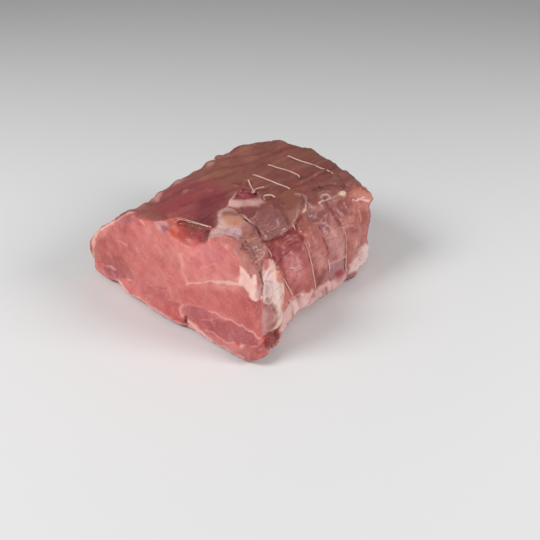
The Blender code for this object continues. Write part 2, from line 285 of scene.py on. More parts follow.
co, normals, facing, view = survey()
x, y, z = (co / MM).T
TURNED_TO_EYE = 0.12  # how far a place must face the eye to be seen whole
NOISE_GAIN = 1.7  # brings noise to about -1 to 1
SEED_STEP = 17.3  # how far apart two kinds of noise are read
STREAK_STEP = 7.7  # and two kinds of streaks
seen = ease(0.0, TURNED_TO_EYE, facing)


def noise_at(places):
    """Smooth noise read at each of the places."""
    return np.array([noise.noise(p) for p in places.tolist()]) * NOISE_GAIN


def uneven(scale, seed, stretch=(1, 1, 1)):
    """Smooth noise over the meat, from about -1 to 1, with lumps of about that many millimetres."""
    return noise_at(np.stack([x, y, z], 1) / scale / np.array(stretch) + seed * SEED_STEP)


def combed(degrees, length, width, seed):
    """Streaks from about -1 to 1 that run at an angle in the view, with sizes in its pixels."""
    c, s = math.cos(math.radians(degrees)), math.sin(math.radians(degrees))
    along, across = wavy[:, 0] * c - wavy[:, 1] * s, wavy[:, 0] * s + wavy[:, 1] * c
    return noise_at(np.stack([along / length, across / width, np.full(len(along), seed * STREAK_STEP)], 1))


def ringed(centre, length, width, seed):
    """Streaks from about -1 to 1 that run in arcs about a place in the view."""
    away = wavy - np.array(centre)
    radius = np.linalg.norm(away, axis=1)
    arc = np.arctan2(away[:, 1], away[:, 0]) * radius
    return noise_at(np.stack([arc / length, radius / width, np.full(len(arc), seed * STREAK_STEP)], 1))


# View places are bent a little, so that no edge of a muscle or of fat runs straight.
WIDE_BEND = 0.8
FINE_BEND = 0.25
bend = WIDE_BEND * np.stack([uneven(4, 4), uneven(4, 5)], 1)
bend += FINE_BEND * np.stack([uneven(1.5, 8), uneven(1.5, 9)], 1)
wavy = view + bend
blotch = uneven(14, 1)
mottle = uneven(5, 2)
grain = uneven(2.2, 3)
fibre = uneven(1.3, 6, (1, 10, 1))
long_fibre = uneven(3.0, 7, (1, 9, 1))
groove_gap = np.min([np.abs(y - loop_place(n, x, z, bow=False)) for n in range(len(TIE_LINES))], 0)
loops = np.stack([np.abs(y - loop_place(n, x, z)) for n in range(len(TIE_LINES))])
nearest_loop = loops.argmin(0)
tie_gap = loops.min(0)


def line_of(points, width, soft=1.0):
    """A mask along a line seen in the view, that many pixels wide."""
    gap = gap_to_line(wavy, points)
    return ease(width / 2 + soft, width / 2 - soft * 0.3, gap) * seen


def within(points, soft=1.2):
    """A mask inside an outline seen in the view, with a soft edge."""
    gap = gap_to_line(wavy, points, closed=True)
    return ease(-soft, soft, np.where(is_inside(wavy, points), gap, -gap)) * seen


def spot(place, reach):
    """A round soft mask about a place seen in the view."""
    return np.exp(-(((wavy - np.array(place)) / reach) ** 2).sum(1)) * seen


# The large forms are raised first, so that the finer forms and the colours land where they are seen: the
# fold of fat and sinew over the near right corner with the muscles behind it, the fat beside the near end,
# and the hollow torn in the top of the near end
HOLLOW = [
    (168, 218.5), (177.9, 219), (193.6, 225.6), (211, 229.5), (209.3, 238), (201, 243), (193.5, 246),
    (184.5, 243.5), (176.5, 238.5), (170.5, 231),
]
FOLD = [
    (222.3, 209.8), (217.8, 214.5), (220.4, 218), (219, 222), (217.6, 226.2), (213, 230.2), (208, 240),
    (215, 236.5), (225, 235.8), (235, 239), (241, 243), (247, 238), (252, 232), (252.5, 224),
    (242, 215), (233.5, 210.4), (227, 207.5),
]
FOLD_EDGE = [
    (229.4, 206), (222.6, 210.2), (218.3, 214.5), (220.2, 218.5), (218, 225.5), (213, 231),
    (208.6, 239),
]
BAND = [
    (227.3, 206.3), (231.4, 200.2), (241.6, 199.7), (254.9, 198.7), (261, 198.5), (264, 202), (258, 206),
    (247.8, 205.8), (236.5, 208.4),
]
POCKET = [
    (235.5, 192), (240, 190), (247, 189.8), (256, 191), (258.5, 196), (252, 199), (245, 199.6),
    (234.5, 199),
]
ROLL = [
    (256, 214), (262, 208), (270, 206), (278, 209), (284, 215), (289, 225), (288, 231), (279, 237.5),
    (268, 242.5), (262, 240), (258, 230),
]
ROLL_BACK = [
    (262, 200), (272, 192), (290, 189), (303, 196), (304, 210), (298, 221), (291, 225), (285, 214),
    (274, 205),
]
TONGUE = [
    (242, 232), (250, 230), (256.5, 231.5), (259.5, 237), (262, 241), (264.5, 245), (266.5, 250),
    (265.5, 255), (262, 259), (257.5, 263.5), (254, 263), (249.5, 256), (245, 248), (240.5, 241),
]
FAT_MASS = [
    (240, 265.5), (239.5, 273), (238.5, 280), (240.5, 285), (245, 288.3), (248.3, 293), (249.3, 297),
    (253, 300), (255.5, 301.2), (258, 299.5), (257.8, 294), (257.5, 287), (257, 280), (256.5, 275),
    (253.5, 274.5), (250, 276.5), (246.5, 272.5), (243, 268.5),
]
LUMP = [
    (261.5, 266), (264, 260.5), (269, 259), (274, 262), (279, 268.5), (282, 278), (284, 290),
    (283.8, 301), (281, 312), (278.5, 320), (277, 327), (272, 333), (274.5, 324), (276, 314),
    (272.5, 305), (265, 303), (260.5, 300), (262, 291), (260.8, 280),
]
# Outline, softness of its edge, and rise in millimetres
FORMS = [
    (FOLD, 1.0, 1.5), (BAND, 2.2, 1.0), (POCKET, 1.2, -2.4), (ROLL, 2.0, 1.3), (ROLL_BACK, 3.0, 1.0),
    (TONGUE, 2.4, 0.9), (FAT_MASS, 1.2, 0.7), (LUMP, 2.4, 1.3), (HOLLOW, 3.2, -2.0),
]
# Bumps and dents in the outline, seen from the corner: place in the view, reach there, and rise
OUTLINE = [
    ((207, 162), 4, 3.2), ((200, 171), 4, -0.8), ((217, 157), 4, 2.4), ((229, 152), 3.5, -0.6),
    ((236, 148), 3.5, 1.8), ((189, 174), 4, -0.6), ((176, 181), 5, 1.2), ((159, 192), 4, 1.0),
    ((150, 199), 5, -2.4), ((139, 205), 5, -0.8), ((120, 215), 6, 0.0), ((94, 262), 3, -2.6),
    ((370, 207), 4, -2.2), ((364, 250), 7, 0.6), ((354, 277), 8, 5.4), ((361, 264), 6, 2.2),
    ((130, 209), 4, 1.4), ((223, 349), 4, 1.2), ((283, 338), 4, -1.2), ((312, 149), 5, 2.6),
    ((242, 145), 6, 1.6), ((280, 141), 7, 1.8), ((340, 169), 5, -1.8), ((368, 188), 4, 1.4),
    ((89, 243), 6, 1.0), ((116, 284), 5, -3.2), ((231, 353), 5, 0.9), ((192, 331), 4, -1.4),
    ((90, 251), 4, 1.2), ((121, 287), 4, -1.6), ((285, 334), 5, -1.8), ((292, 327), 8, -1.0),
    ((266, 353), 4, 0.8), ((275, 345), 3.5, 1.4), ((306, 312), 8, -1.4), ((318, 301), 8, -1.2),
]
cut = within(CUT_FACE, 1.0)
far_cut = ease(FAR_END - 7, FAR_END - 4, y) * (1 - seen)
outer = (1 - cut) * (1 - far_cut)

# The twine bites into the side, and has sunk out of sight on the left of the top. The round grooves of the
# solid are filled again beside it, least of all at the foot of the first loop.
SHOWN_REACH = (4.5, 2.5)  # how near a shown stretch a loop counts as shown, in the view
GROOVE = 3.0  # half the width of a groove in the solid
GROOVE_FILL = 2.3
DENT = 1.1  # how deep the side is drawn in beside a loop
DENT_WIDTH = 4.0
STRING_BITE = 0.8  # how much deeper right under the string where it is hidden
SHOWN_BITE = 0.3  # and where it shows
BITE_WIDTH = 0.9
LAST_LOOP = len(TIE_LINES) - 1
TOP_FILL = 1.0
LEFT_FILL = 0.9
LEFT_BITE = 0.6
LEFT_BITE_WIDTH = 1.1
FOOT_SWELL = 1.3  # the foot of the cut face stands out
FOLD_EDGE_RISE = 0.4
LAST_BITE = 0.5  # the last loop bites half as deep
RAISING_ROUNDS = 6
RAISING_SHARE = 0.6
SOFTENING_ROUNDS = 2
SOFTENING_SHARE = 0.6


def bell(gap, width):
    """1 at no gap, falling to nothing over about twice the width."""
    return np.exp(-((gap / width) ** 2))


side = ease(30, 48, x) * outer
tight = np.where(nearest_loop == 0, ease(30, 46, z), ease(-2, 8, z))
shows = np.zeros(len(co))
for number, stretches in enumerate(SHOWN):
    for stretch in stretches:
        shows = np.maximum(shows, (nearest_loop == number) * ease(*SHOWN_REACH, gap_to_line(view, stretch)))
valley = bell(groove_gap, GROOVE)
bite = bell(tie_gap, BITE_WIDTH) * tight * np.where(nearest_loop == LAST_LOOP, LAST_BITE, 1.0)
left = ease(-20, -50, x)
fill = np.where(y < -50, 0.3 * ease(4, 16, z) + 0.7 * ease(32, 46, z), 1)
swell = GROOVE_FILL * fill * ease(22, 40, x) * (1 - far_cut) * valley
depth = STRING_BITE + (SHOWN_BITE - STRING_BITE) * shows
swell -= side * (DENT * bell(tie_gap, DENT_WIDTH) + depth * bite)
swell += (1 - side) * ease(5, 20, z) * ease(-50, -40, y) * (TOP_FILL + LEFT_FILL * ease(3, -6, x)) * valley
swell -= left * LEFT_BITE * bell(tie_gap, LEFT_BITE_WIDTH)
rim = ease(0.6, 0.2, np.abs(facing))
for place, reach, rise in OUTLINE:
    swell += rise * rim * np.exp(-(((view - np.array(place)) / reach) ** 2).sum(1))
swell += FOOT_SWELL * cut * ease(13, 3, z)

# A raised form moves in the view, so its rise is found in a few rounds, each from where the last left it.
raised = np.zeros(len(co))
for _ in range(RAISING_ROUNDS):
    wavy = in_view(co + normals * (raised * MM)[:, None]) + bend
    target = swell + FOLD_EDGE_RISE * line_of(FOLD_EDGE, 1.5, 1.6)
    for outline, soft, rise in FORMS:
        target = target + rise * within(outline, soft)
    raised += RAISING_SHARE * (target - raised)

# Steps between neighbours are softened.
ends = np.empty(len(meat_mesh.edges) * 2, int)
meat_mesh.edges.foreach_get("vertices", ends)
ends = ends.reshape(-1, 2)
neighbours = np.bincount(ends.ravel(), minlength=len(co))
for _ in range(SOFTENING_ROUNDS):
    around = sum(np.bincount(a, raised[b], len(co)) for a, b in (ends.T, ends.T[::-1]))
    raised = (1 - SOFTENING_SHARE) * raised + SOFTENING_SHARE * around / neighbours
meat_mesh.vertices.foreach_set("co", (co + normals * (raised * MM)[:, None]).ravel())
meat_mesh.update()
co, normals, facing, view = survey()
x, y, z = (co / MM).T
seen = np.maximum(seen * 0.5, ease(0.0, TURNED_TO_EYE, facing))
wavy = view + bend
cut = within(CUT_FACE, 1.0)
outer = (1 - cut) * (1 - far_cut)
side = ease(30, 48, x) * outer

# Colours as seen in daylight, red, green and blue of 255: those of the fresh cut, of the side, of fat, of
# the painted shade in creases and on their banks, and of the dried top with its blood, its fibres and its
# back
FLESH = (214, 118, 112)
PALE_FLESH = (226, 138, 128)
WINE_FLESH = (150, 66, 70)
SIDE_FLESH = (186, 108, 104)
FAT = (242, 192, 180)
CREASE_SHADE = (96, 40, 42)
BANK_SHADE = (128, 62, 56)
DRY_TOP = (150, 88, 80)
DRY_BACK = (124, 74, 65)
BLOOD = (158, 74, 70)
PALE_FIBRE = (196, 138, 126)
DARK_FIBRE = (120, 62, 58)
DAMPNESS = 0.35

# What the surface gets, point by point: height in millimetres, colour, how fat and how wet it is
height = np.zeros(len(co))
tone = np.zeros((len(co), 3))
fat = np.zeros(len(co))
wet = np.full(len(co), DAMPNESS)


def paint(mask, colour):
    """Colour laid on as strongly as the mask says."""
    tone[:] = tone * (1 - mask[:, None]) + np.array(colour, float) * mask[:, None]


def grease(mask, colour=FAT):
    """Fat of the given colour, which hides the grain of the meat under it."""
    paint(mask, colour)
    fat[:] = np.maximum(fat, mask)


def groove(points, width, depth, dark=0.6):
    """A crease between two muscles: a narrow valley with painted shade on its banks and darker painted shade
    at its bottom.
    """
    height[:] -= depth * line_of(points, width, 1.1)
    # Painted shade on the banks, and darker painted shade at the bottom
    paint(line_of(points, width, 1.6) * dark * 0.4, BANK_SHADE)
    paint(line_of(points, width * 0.5, 0.8) * dark * 0.8, CREASE_SHADE)


def mottle_with(mask, patches, low, high, strength, colour):
    """Colour in a mask where noise passes low, up to full strength where it reaches high."""
    paint(mask * ease(low, high, patches) * strength, colour)


def streak_with(mask, streaks):
    """Streaks in a mask: their direction, length, width and seed, then as for mottling."""
    for degrees, length, width, seed, low, high, strength, colour in streaks:
        mottle_with(mask, combed(degrees, length, width, seed), low, high, strength, colour)


def ring_with(mask, centre, rings):
    """Streaks in arcs about a place: their length, width and seed, then as for mottling."""
    for length, width, seed, low, high, strength, colour in rings:
        mottle_with(mask, ringed(centre, length, width, seed), low, high, strength, colour)


def carve(creases):
    """Creases seen in the view: points, width, depth in millimetres, and how dark their painted shade is."""
    for points, width, depth, dark in creases:
        groove(points, width, depth, dark)


def lay_areas(areas, fatty=False):
    """Areas seen in the view: outline, softness of its edge, strength, colour and rise."""
    for outline, soft, strength, colour, rise in areas:
        mask = within(outline, soft)
        (grease if fatty else paint)(mask * strength, colour)
        height[:] += rise * mask


def draw_lines(lines):
    """Pale threads of fat and sinew, and some painted glints, highlights and one painted shadow line: points
    in the view, width, softness, strength, colour and rise.
    """
    for points, width, soft, strength, colour, rise in lines:
        mask = line_of(points, width, soft)
        grease(mask * strength, colour)
        height[:] += rise * mask


# The whole outside is side meat, and its top has dried.
MOTTLE_RISE = 0.25
GRAIN_RISE = 0.10
CUT_RISE = 0.3
top = ease(44, 60, z) * ease(60, 36, x)
tone[:] = SIDE_FLESH
paint(top, DRY_TOP)
paint(top * ease(215, 285, view[:, 0]), DRY_BACK)
mottle_with(outer, blotch, 0.0, 1.0, 0.35, BLOOD)
mottle_with(outer, long_fibre, 0.1, 1.0, 0.30, PALE_FIBRE)
mottle_with(outer, -fibre, 0.2, 1.2, 0.30, DARK_FIBRE)
height += MOTTLE_RISE * mottle + GRAIN_RISE * grain + CUT_RISE * cut * blotch

# The top: a darker wet patch behind the near end, long creases and furrows with painted shade in them,
# painted highlights on the bumps of its outline, and small painted glints of moisture
WINE_PATCH = [
    (150, 204), (172, 190), (196, 180), (222, 186), (226, 200), (214, 214), (209, 228), (188, 222),
    (160, 216),
]
BROWN_PATCH = [
    (206, 160), (240, 146), (290, 146), (318, 160), (296, 168), (262, 172), (236, 190), (214, 180),
]
TOP_AREAS = [
    ([(190, 218), (214, 218), (214, 226), (210, 228), (198, 226)], 2.5, 0.6, (104, 46, 52), 0),
    ([(198, 198), (227, 191), (226, 203), (215, 212), (210, 227), (196, 222)], 5.0, 0.55, (116, 48, 56),
     0),
    # The next four are painted highlights on the bumps of the top-left outline
    ([(153, 200), (154, 196), (158, 192), (163, 192), (160, 197), (158, 201)], 1.4, 0.8,
     (206, 154, 142), 0),
    ([(172, 185), (176, 180), (183, 178), (185, 180), (179, 184)], 1.4, 0.8, (200, 150, 140), 0),
    ([(206, 168), (207, 161), (212, 159), (214, 162), (211, 167)], 1.4, 0.8, (196, 142, 124), 0),
    ([(213, 160), (219, 156), (230, 153), (231, 156), (220, 160)], 1.6, 0.6, (176, 116, 96), 0),
    ([(240, 147), (250, 146), (252, 149), (243, 150)], 1.6, 0.5, (152, 106, 82), 0),
    ([(240, 151), (251, 151), (259, 157), (252, 163), (242, 160)], 4.0, 0.4, (170, 112, 100), 0),
    ([(202, 170), (226, 164), (240, 168), (224, 176), (206, 178)], 4.0, 0.5, (148, 98, 76), 0),
    ([(262, 152), (282, 148), (296, 154), (280, 160), (264, 160)], 4.0, 0.4, (150, 80, 74), 0),
    ([(302, 151), (314, 151), (318, 158), (308, 160)], 3.0, 0.5, (128, 84, 60), 0),
    ([(276, 194), (298, 190), (301, 198), (290, 204), (276, 202)], 3.0, 0.5, (136, 86, 68), 0),
    # The next two are painted shade in small creases
    ([(232, 182), (242, 182), (242, 185), (233, 184.5)], 1.2, 0.5, (104, 50, 50), -0.2),
    ([(200, 200), (209, 199), (209, 205), (203, 207)], 2.0, 0.4, (108, 44, 50), -0.3),
    # The next two are painted glints of moisture
    ([(183, 190), (190, 189.5), (188, 193), (183, 195)], 1.0, 0.55, (190, 136, 128), 0.3),
    ([(207, 190), (213, 190.5), (212, 193), (208, 193)], 1.2, 0.4, (176, 112, 110), 0.2),
]
TOP_LINES = [
    # The first two lines are painted glints of moisture
    ([(170.5, 199), (171.5, 196)], 1.0, 0.9, 0.5, (184, 128, 122), 0.2),
    ([(186, 216), (191, 217.5), (197, 219)], 0.8, 1.2, 0.4, (168, 106, 108), 0.2),
    ([(234, 184.6), (239, 184.8)], 0.5, 0.8, 0.5, (178, 116, 104), 0.2),
    ([(301.3, 182), (303.6, 185)], 0.5, 0.8, 0.6, (178, 130, 116), 0.2),
]
BROWN_TOP = (140, 84, 68)
TOP_STREAKS = [
    (22, 22, 4.5, 11, 0.2, 1.1, 0.3, (166, 108, 94)), (26, 24, 4.0, 12, 0.2, 1.1, 0.3, (118, 56, 56)),
    (24, 14, 1.6, 28, 0.4, 1.1, 0.2, (112, 52, 52)),
]
TOP_CREASES = [
    ([(272, 197), (279, 192), (290, 188.5), (300, 185), (318, 176), (345, 160)], 1.8, 1.2, 0.6),
    ([(314, 189.5), (322, 186), (335, 184), (347, 186)], 1.6, 0.8, 0.4),
]
FURROW_DEPTH = 0.8
FURROW_SHADE = (104, 50, 50)
TOP_FURROWS = [
    [(152, 205), (190, 186), (235, 172)], [(182, 204), (215, 196), (240, 186)],
    [(215, 160), (262, 152), (300, 146)], [(205, 172), (250, 162), (280, 150)],
    [(300, 178), (330, 164), (345, 155)],
]
wine = within(WINE_PATCH, 6)
paint(wine * 0.85, WINE_FLESH)
wet = np.maximum(wet, wine * 0.7)
paint(within(BROWN_PATCH, 7) * 0.5, BROWN_TOP)
streak_with(top * seen * outer, TOP_STREAKS)
lay_areas(TOP_AREAS)
draw_lines(TOP_LINES)
# Each furrow is dented, with painted shade along its bottom
for furrow in TOP_FURROWS:
    height -= FURROW_DEPTH * line_of(furrow, 2.0, 2.5)
    paint(line_of(furrow, 1.2, 1.4) * 0.3, FURROW_SHADE)
carve(TOP_CREASES)

# Painted shade darkens the meat beside the loops on the right side, more in the bite under the string and
# less where the string shows, and along the sunk loops on the left; the side is wetter than the top.
SHADE_BESIDE_LOOPS = (140, 72, 64)
SHADE_IN_LEFT_LOOPS = (112, 52, 50)
paint(side * tight * bell(tie_gap, 3.0) * 0.2, SHADE_BESIDE_LOOPS)
paint(side * bite * (0.34 - 0.2 * shows), CREASE_SHADE)
paint(left * bell(tie_gap, 1.0) * 0.5, SHADE_IN_LEFT_LOOPS)
wet = np.maximum(wet, side * 0.75)
wet = np.maximum(wet, cut * 0.45)

# The near end: muscles cut across, with seams of fat between them
LEFT_MUSCLE = [
    (95, 240), (103, 232), (118, 229), (130, 228), (134, 240), (126, 256), (118, 264), (100, 260),
]
LOWER_MUSCLE = [
    (182, 307), (187, 305), (200.7, 306.5), (211, 310.5), (221.7, 318), (234.3, 321.5), (247, 329.1),
    (260, 338), (258, 345), (248.4, 344.5), (240, 344), (227.3, 341.5), (213, 334.5), (203, 328),
    (195, 323), (187, 318),
]
RED_MUSCLE = [
    (178, 288), (190, 287), (238, 287), (247, 296), (261, 305), (262, 334), (240, 324), (222, 315),
    (204, 304), (184, 302),
]
PALE_MUSCLE = [
    (190, 252), (206, 243), (226, 240), (238, 250), (240, 266), (237, 277), (230, 280), (192, 280),
    (185, 268),
]
HALF_MOON = [
    (150, 288), (158, 287), (167, 290.5), (171, 298), (179, 303), (180, 314), (184, 322), (168, 315),
    (152, 303), (143, 292),
]
FACE_AREAS = [
    (LEFT_MUSCLE, 7, 0.8, (184, 84, 82), 0.3), (PALE_MUSCLE, 4, 0.8, (222, 126, 124), 0.3),
    (RED_MUSCLE, 3, 0.8, (204, 102, 99), 0.2), (HALF_MOON, 1.5, 0.75, (190, 98, 98), 0.3),
    (LOWER_MUSCLE, 1.0, 0.9, (180, 92, 96), 0.3),
    ([(112, 234), (128, 234), (132, 246), (118, 250)], 5, 0.45, (226, 142, 136), 0),
    ([(100, 256), (122, 258), (130, 266), (132, 278), (116, 276), (102, 268)], 3, 0.7, (166, 84, 80),
     0),
    ([(96, 236), (104, 234), (102, 256), (94, 254)], 3, 0.5, (188, 112, 102), 0),
    ([(117, 218), (131, 214), (133, 222), (124, 228), (117, 226)], 2.5, 0.8, (176, 94, 102), 0),
    ([(116, 227), (127, 226.5), (127, 231.5), (118, 232)], 1.8, 0.6, (186, 76, 76), 0),
    ([(132, 213), (152, 219.5), (152, 224), (140, 224), (132, 220)], 3, 0.6, (196, 104, 98), 0),
    ([(138, 226), (156, 228), (180, 244), (184, 262), (172, 262), (156, 248), (140, 238)], 6, 0.4,
     (218, 130, 126), 0.2),
    ([(138, 262), (158, 264), (172, 280), (160, 286), (140, 276)], 8, 0.4, (204, 112, 108), 0),
    ([(176, 240), (190, 246), (200, 250), (188, 262), (184, 280), (178, 268), (178, 254)], 4, 0.7,
     (234, 146, 138), 0.2),
    ([(202, 249), (221, 247), (222, 262), (208, 262)], 4, 0.5, (206, 112, 122), 0),
    ([(196, 278), (226, 276), (242, 272), (246, 284), (238, 291), (204, 289)], 4, 0.5, (240, 168, 158),
     0.1),
    ([(212, 310), (224, 313), (234, 320), (222, 321), (212, 316)], 3, 0.5, (226, 146, 138), 0),
    ([(84, 238), (91, 236), (93, 246), (96, 257), (88, 258)], 2, 0.7, (168, 88, 80), 0),
    ([(94, 233), (101, 227), (110, 226), (110, 232), (98, 240)], 2, 0.6, (226, 152, 140), 0),
    ([(150, 300), (164, 312), (160, 318), (140, 304)], 2, 0.5, (186, 104, 104), 0),
    ([(213, 237), (226, 236), (238, 241), (246, 252), (238, 256), (226, 246)], 3, 0.7, (188, 110, 102),
     0),
    ([(234, 350), (246, 348), (262, 347), (263, 356), (254, 361), (242, 360)], 2.5, 0.6, (176, 88, 87),
     0),
    ([(124, 213), (134, 212), (136, 220), (128, 222)], 2, 0.5, (160, 92, 94), 0),
    ([(252, 302), (261, 299), (263, 320), (256, 320)], 2.5, 0.85, (172, 82, 80), 0),
    ([(228, 252), (237, 255), (236, 268), (229, 266)], 3, 0.5, (236, 148, 136), 0),
    ([(132, 281), (150, 282), (150, 289), (138, 292)], 3, 0.5, (202, 112, 116), 0),
    ([(167, 287), (171, 288), (176, 298), (171, 298)], 1.8, 0.6, (216, 140, 124), 0.1),
    ([(158, 305), (172, 305), (178, 316), (166, 314)], 3, 0.7, (208, 92, 92), 0),
    ([(175, 317), (184, 318), (185, 325), (178, 323)], 1.8, 0.7, (200, 70, 76), 0),
    ([(186, 307), (200, 308), (204, 318), (190, 318)], 3, 0.5, (188, 108, 112), 0),
    ([(203, 321), (228, 321), (238, 332), (226, 338), (208, 328)], 3, 0.5, (176, 82, 86), 0),
    ([(196, 326), (212, 336), (232, 345), (252, 348), (250, 358), (230, 352), (206, 340)], 2, 0.7,
     (204, 126, 126), 0.2),
    ([(97, 261.5), (101, 262.5), (101.5, 268), (97.5, 267.5)], 1.5, 0.8, (204, 96, 96), 0.4),
    ([(102, 267), (112, 268), (120, 270), (126, 276), (118, 279), (108, 276)], 1.5, 0.8, (164, 82, 92),
     0.4),
    ([(118, 268), (130, 272), (132, 278), (121, 277)], 2, 0.6, (182, 106, 102), 0),
    ([(239, 244), (247, 250), (253, 262), (256, 274), (249, 272), (242, 264), (238, 254)], 2.2, 0.8,
     (176, 106, 93), 0),
    ([(257, 345), (265, 341), (269, 349), (263, 356), (257, 354)], 2.2, 0.7, (166, 70, 74), 0),
    ([(264, 336), (268, 334), (278, 329), (278.5, 338), (272, 349), (266, 350), (263, 343)], 1.6, 0.95,
     (126, 44, 46), -0.1),
    ([(268, 333), (278, 329), (278, 338), (271, 338)], 1.5, 0.8, (126, 58, 56), -0.3),
    ([(263, 335.5), (268, 334.5), (270, 341), (264, 342)], 1.5, 0.8, (166, 48, 48), 0),
    ([(154, 222), (166, 221.5), (170, 226), (170, 230), (165.5, 233.5), (160, 231.5), (156, 228)], 1.2,
     0.85, (226, 166, 164), 0.3),
    ([(161.5, 225.5), (168.5, 226.5), (169, 231), (165, 233), (161.5, 230)], 2.0, 0.85, (138, 74, 96),
     -0.1),
]
FACE_SPOTS = [
    ((151, 296), 1.7, 0.8, (228, 152, 146)), ((242.3, 346), 1.9, 0.9, (242, 188, 180)),
    ((247, 346.6), 1.9, 0.7, (146, 92, 96)), ((239, 343.3), 1.9, 0.9, (204, 66, 62)),
    ((233, 342.5), 2.2, 0.5, (240, 172, 164)), ((140, 246.5), 1.8, 0.5, (178, 84, 94)),
    ((164.5, 233.5), 1.8, 0.5, (188, 116, 130)), ((99, 265), 1.6, 0.6, (196, 70, 78)),
    ((262, 341), 2.0, 0.5, (214, 96, 86)),
]
FACE_STREAKS = [
    (-46, 14, 2.2, 13, 0.1, 1.1, 0.26, (234, 152, 144)), (-46, 12, 1.8, 14, 0.2, 1.1, 0.26, (178, 78, 82)),
]
FACE_WAVES = 0.25
PALE_MOTTLE = (230, 148, 138)
RED_MOTTLE = (190, 92, 90)
paint(cut, FLESH)
height += FACE_WAVES * cut * uneven(7, 21)
lay_areas(FACE_AREAS)
streak_with(cut, FACE_STREAKS)
mottle_with(cut, mottle, 0.2, 1.2, 0.2, PALE_MOTTLE)
mottle_with(cut, -uneven(9, 27), 0.2, 1.2, 0.25, RED_MOTTLE)
for seam in FACE_LINES[:MAIN_SEAMS]:
    paint(line_of(seam[0], 2.0, 4.0) * 0.35, PALE_FLESH)
draw_lines(FACE_LINES)
for place, reach, strength, colour in FACE_SPOTS:
    paint(spot(place, reach) * strength, colour)

# The skirt of fat round the near end, widest at its left and its lowest corner
LEFT_EDGE = [
    (133, 212.5), (126, 214.5), (113, 222), (105, 226.5), (98, 231.5), (94.5, 237), (93.5, 243),
    (92.5, 252), (94.5, 257.4),
]
LEFT_EDGE_FAT = [(112, 222.5), (104, 227), (98, 232), (95, 238), (94, 246)]
BOTTOM_EDGE = [
    (117, 280), (121.6, 288.6), (126.6, 292.4), (141.6, 299.4), (158, 311.4), (173, 321.4),
    (187.8, 325), (200.4, 333), (216.4, 343.2), (234, 353.4), (244, 358),
]
CORNER_FAT = [(118, 279.5), (122, 282), (125.5, 288), (129, 293), (124, 293.5), (121, 289)]
MIDDLE_FAT = [(187, 320.5), (192, 324.5), (198, 329.5), (204, 335), (212, 340.5)]
NOTCH = [(185.5, 318), (185.8, 322), (187, 325)]
FACE_CREASES = [
    (NOTCH, 1.2, 2.2, 0.9), ([(98, 262), (103, 264), (110, 265.5)], 0.8, 0.7, 0.3),
    ([(148, 288.3), (157, 286.8), (166, 289)], 0.6, 0.4, 0.3),
]
SKIRT_LINES = [
    (LEFT_EDGE, 1.0, 1.1, 0.7, (238, 184, 168), 0), (LEFT_EDGE_FAT, 2.2, 1.2, 0.7, (240, 186, 170), 0),
    (BOTTOM_EDGE, 1.2, 1.1, 0.75, (236, 190, 184), 0),
]
SKIRT_AREAS = [
    (CORNER_FAT, 0.9, 0.85, (246, 200, 188), 0),
]
MIDDLE_LINES = [
    (MIDDLE_FAT, 2.4, 1.0, 0.8, (244, 196, 184), 0),
]
draw_lines(SKIRT_LINES)
lay_areas(SKIRT_AREAS, fatty=True)
draw_lines(MIDDLE_LINES)
carve(FACE_CREASES)

# The hollow at the top of the near end, torn and raw
HOLLOW_AREAS = [
    ([(171, 220), (182, 221), (190, 230), (186, 240), (176, 235)], 3.0, 0.8, (186, 76, 70), -0.3),
    ([(184, 229), (202, 231), (203, 239), (190, 239.5)], 3.0, 0.85, (156, 62, 66), -0.4),
    ([(182, 221.5), (194, 224.5), (206, 227), (208, 232), (192, 230.5), (184, 226)], 2.2, 0.85,
     (116, 62, 56), -0.4),
    ([(204, 229), (211, 229.5), (209.5, 238), (204.5, 240)], 2.0, 0.9, (92, 44, 44), -0.3),
    ([(197, 235), (207, 233), (206, 243), (198, 244)], 2.4, 0.75, (146, 56, 68), 0),
    ([(186, 240), (194, 238.5), (196, 243), (188, 244)], 2.2, 0.7, (202, 104, 116), 0),
    ([(165.5, 220), (173, 219.5), (176, 223), (178, 231), (175, 234), (170, 227)], 2.0, 0.85,
     (222, 130, 114), 0.4),
]
HOLLOW_RIM = [(169, 221), (171.5, 227), (175, 233.5), (182, 240.5), (188, 244.5)]
LIP_AREAS = [
    ([(180, 243), (190, 246), (200, 245), (198, 252), (188, 252), (180, 248)], 3.0, 0.5,
     (232, 134, 132), 0),
]
RAW_RED = (202, 90, 76)
TORN_FIBRE = (222, 112, 96)
RIM_COLOUR = (220, 110, 84)
BLOODY_SPOT = ((173.5, 233.5), 2.0)
BLOODY_RED = (204, 72, 38)
TORN_RISE = 0.1
hollow = within(HOLLOW, 2.8)
height += TORN_RISE * hollow * uneven(2.5, 31)
paint(hollow, RAW_RED)
lay_areas(HOLLOW_AREAS)
mottle_with(hollow, uneven(2.6, 32), 0.3, 1.0, 0.12, TORN_FIBRE)
paint(line_of(HOLLOW_RIM, 0.8, 1.8) * 0.3, RIM_COLOUR)
paint(spot(*BLOODY_SPOT) * 0.8, BLOODY_RED)
lay_areas(LIP_AREAS)
wet = np.maximum(wet, hollow)

# The fold of fat and sinew over the near right corner, its pocket, and the rolled muscles behind it
FOLD_SKIN = (206, 158, 152)
FOLD_SINEW = (232, 196, 190)
BAND_SKIN = (202, 152, 146)
BAND_SHADE = (172, 112, 108)
POCKET_RED = (150, 72, 80)
ROLL_BROWN = (138, 82, 70)
ROLL_SKIN = (156, 104, 100)
ROLL_CENTRE = (262, 210)
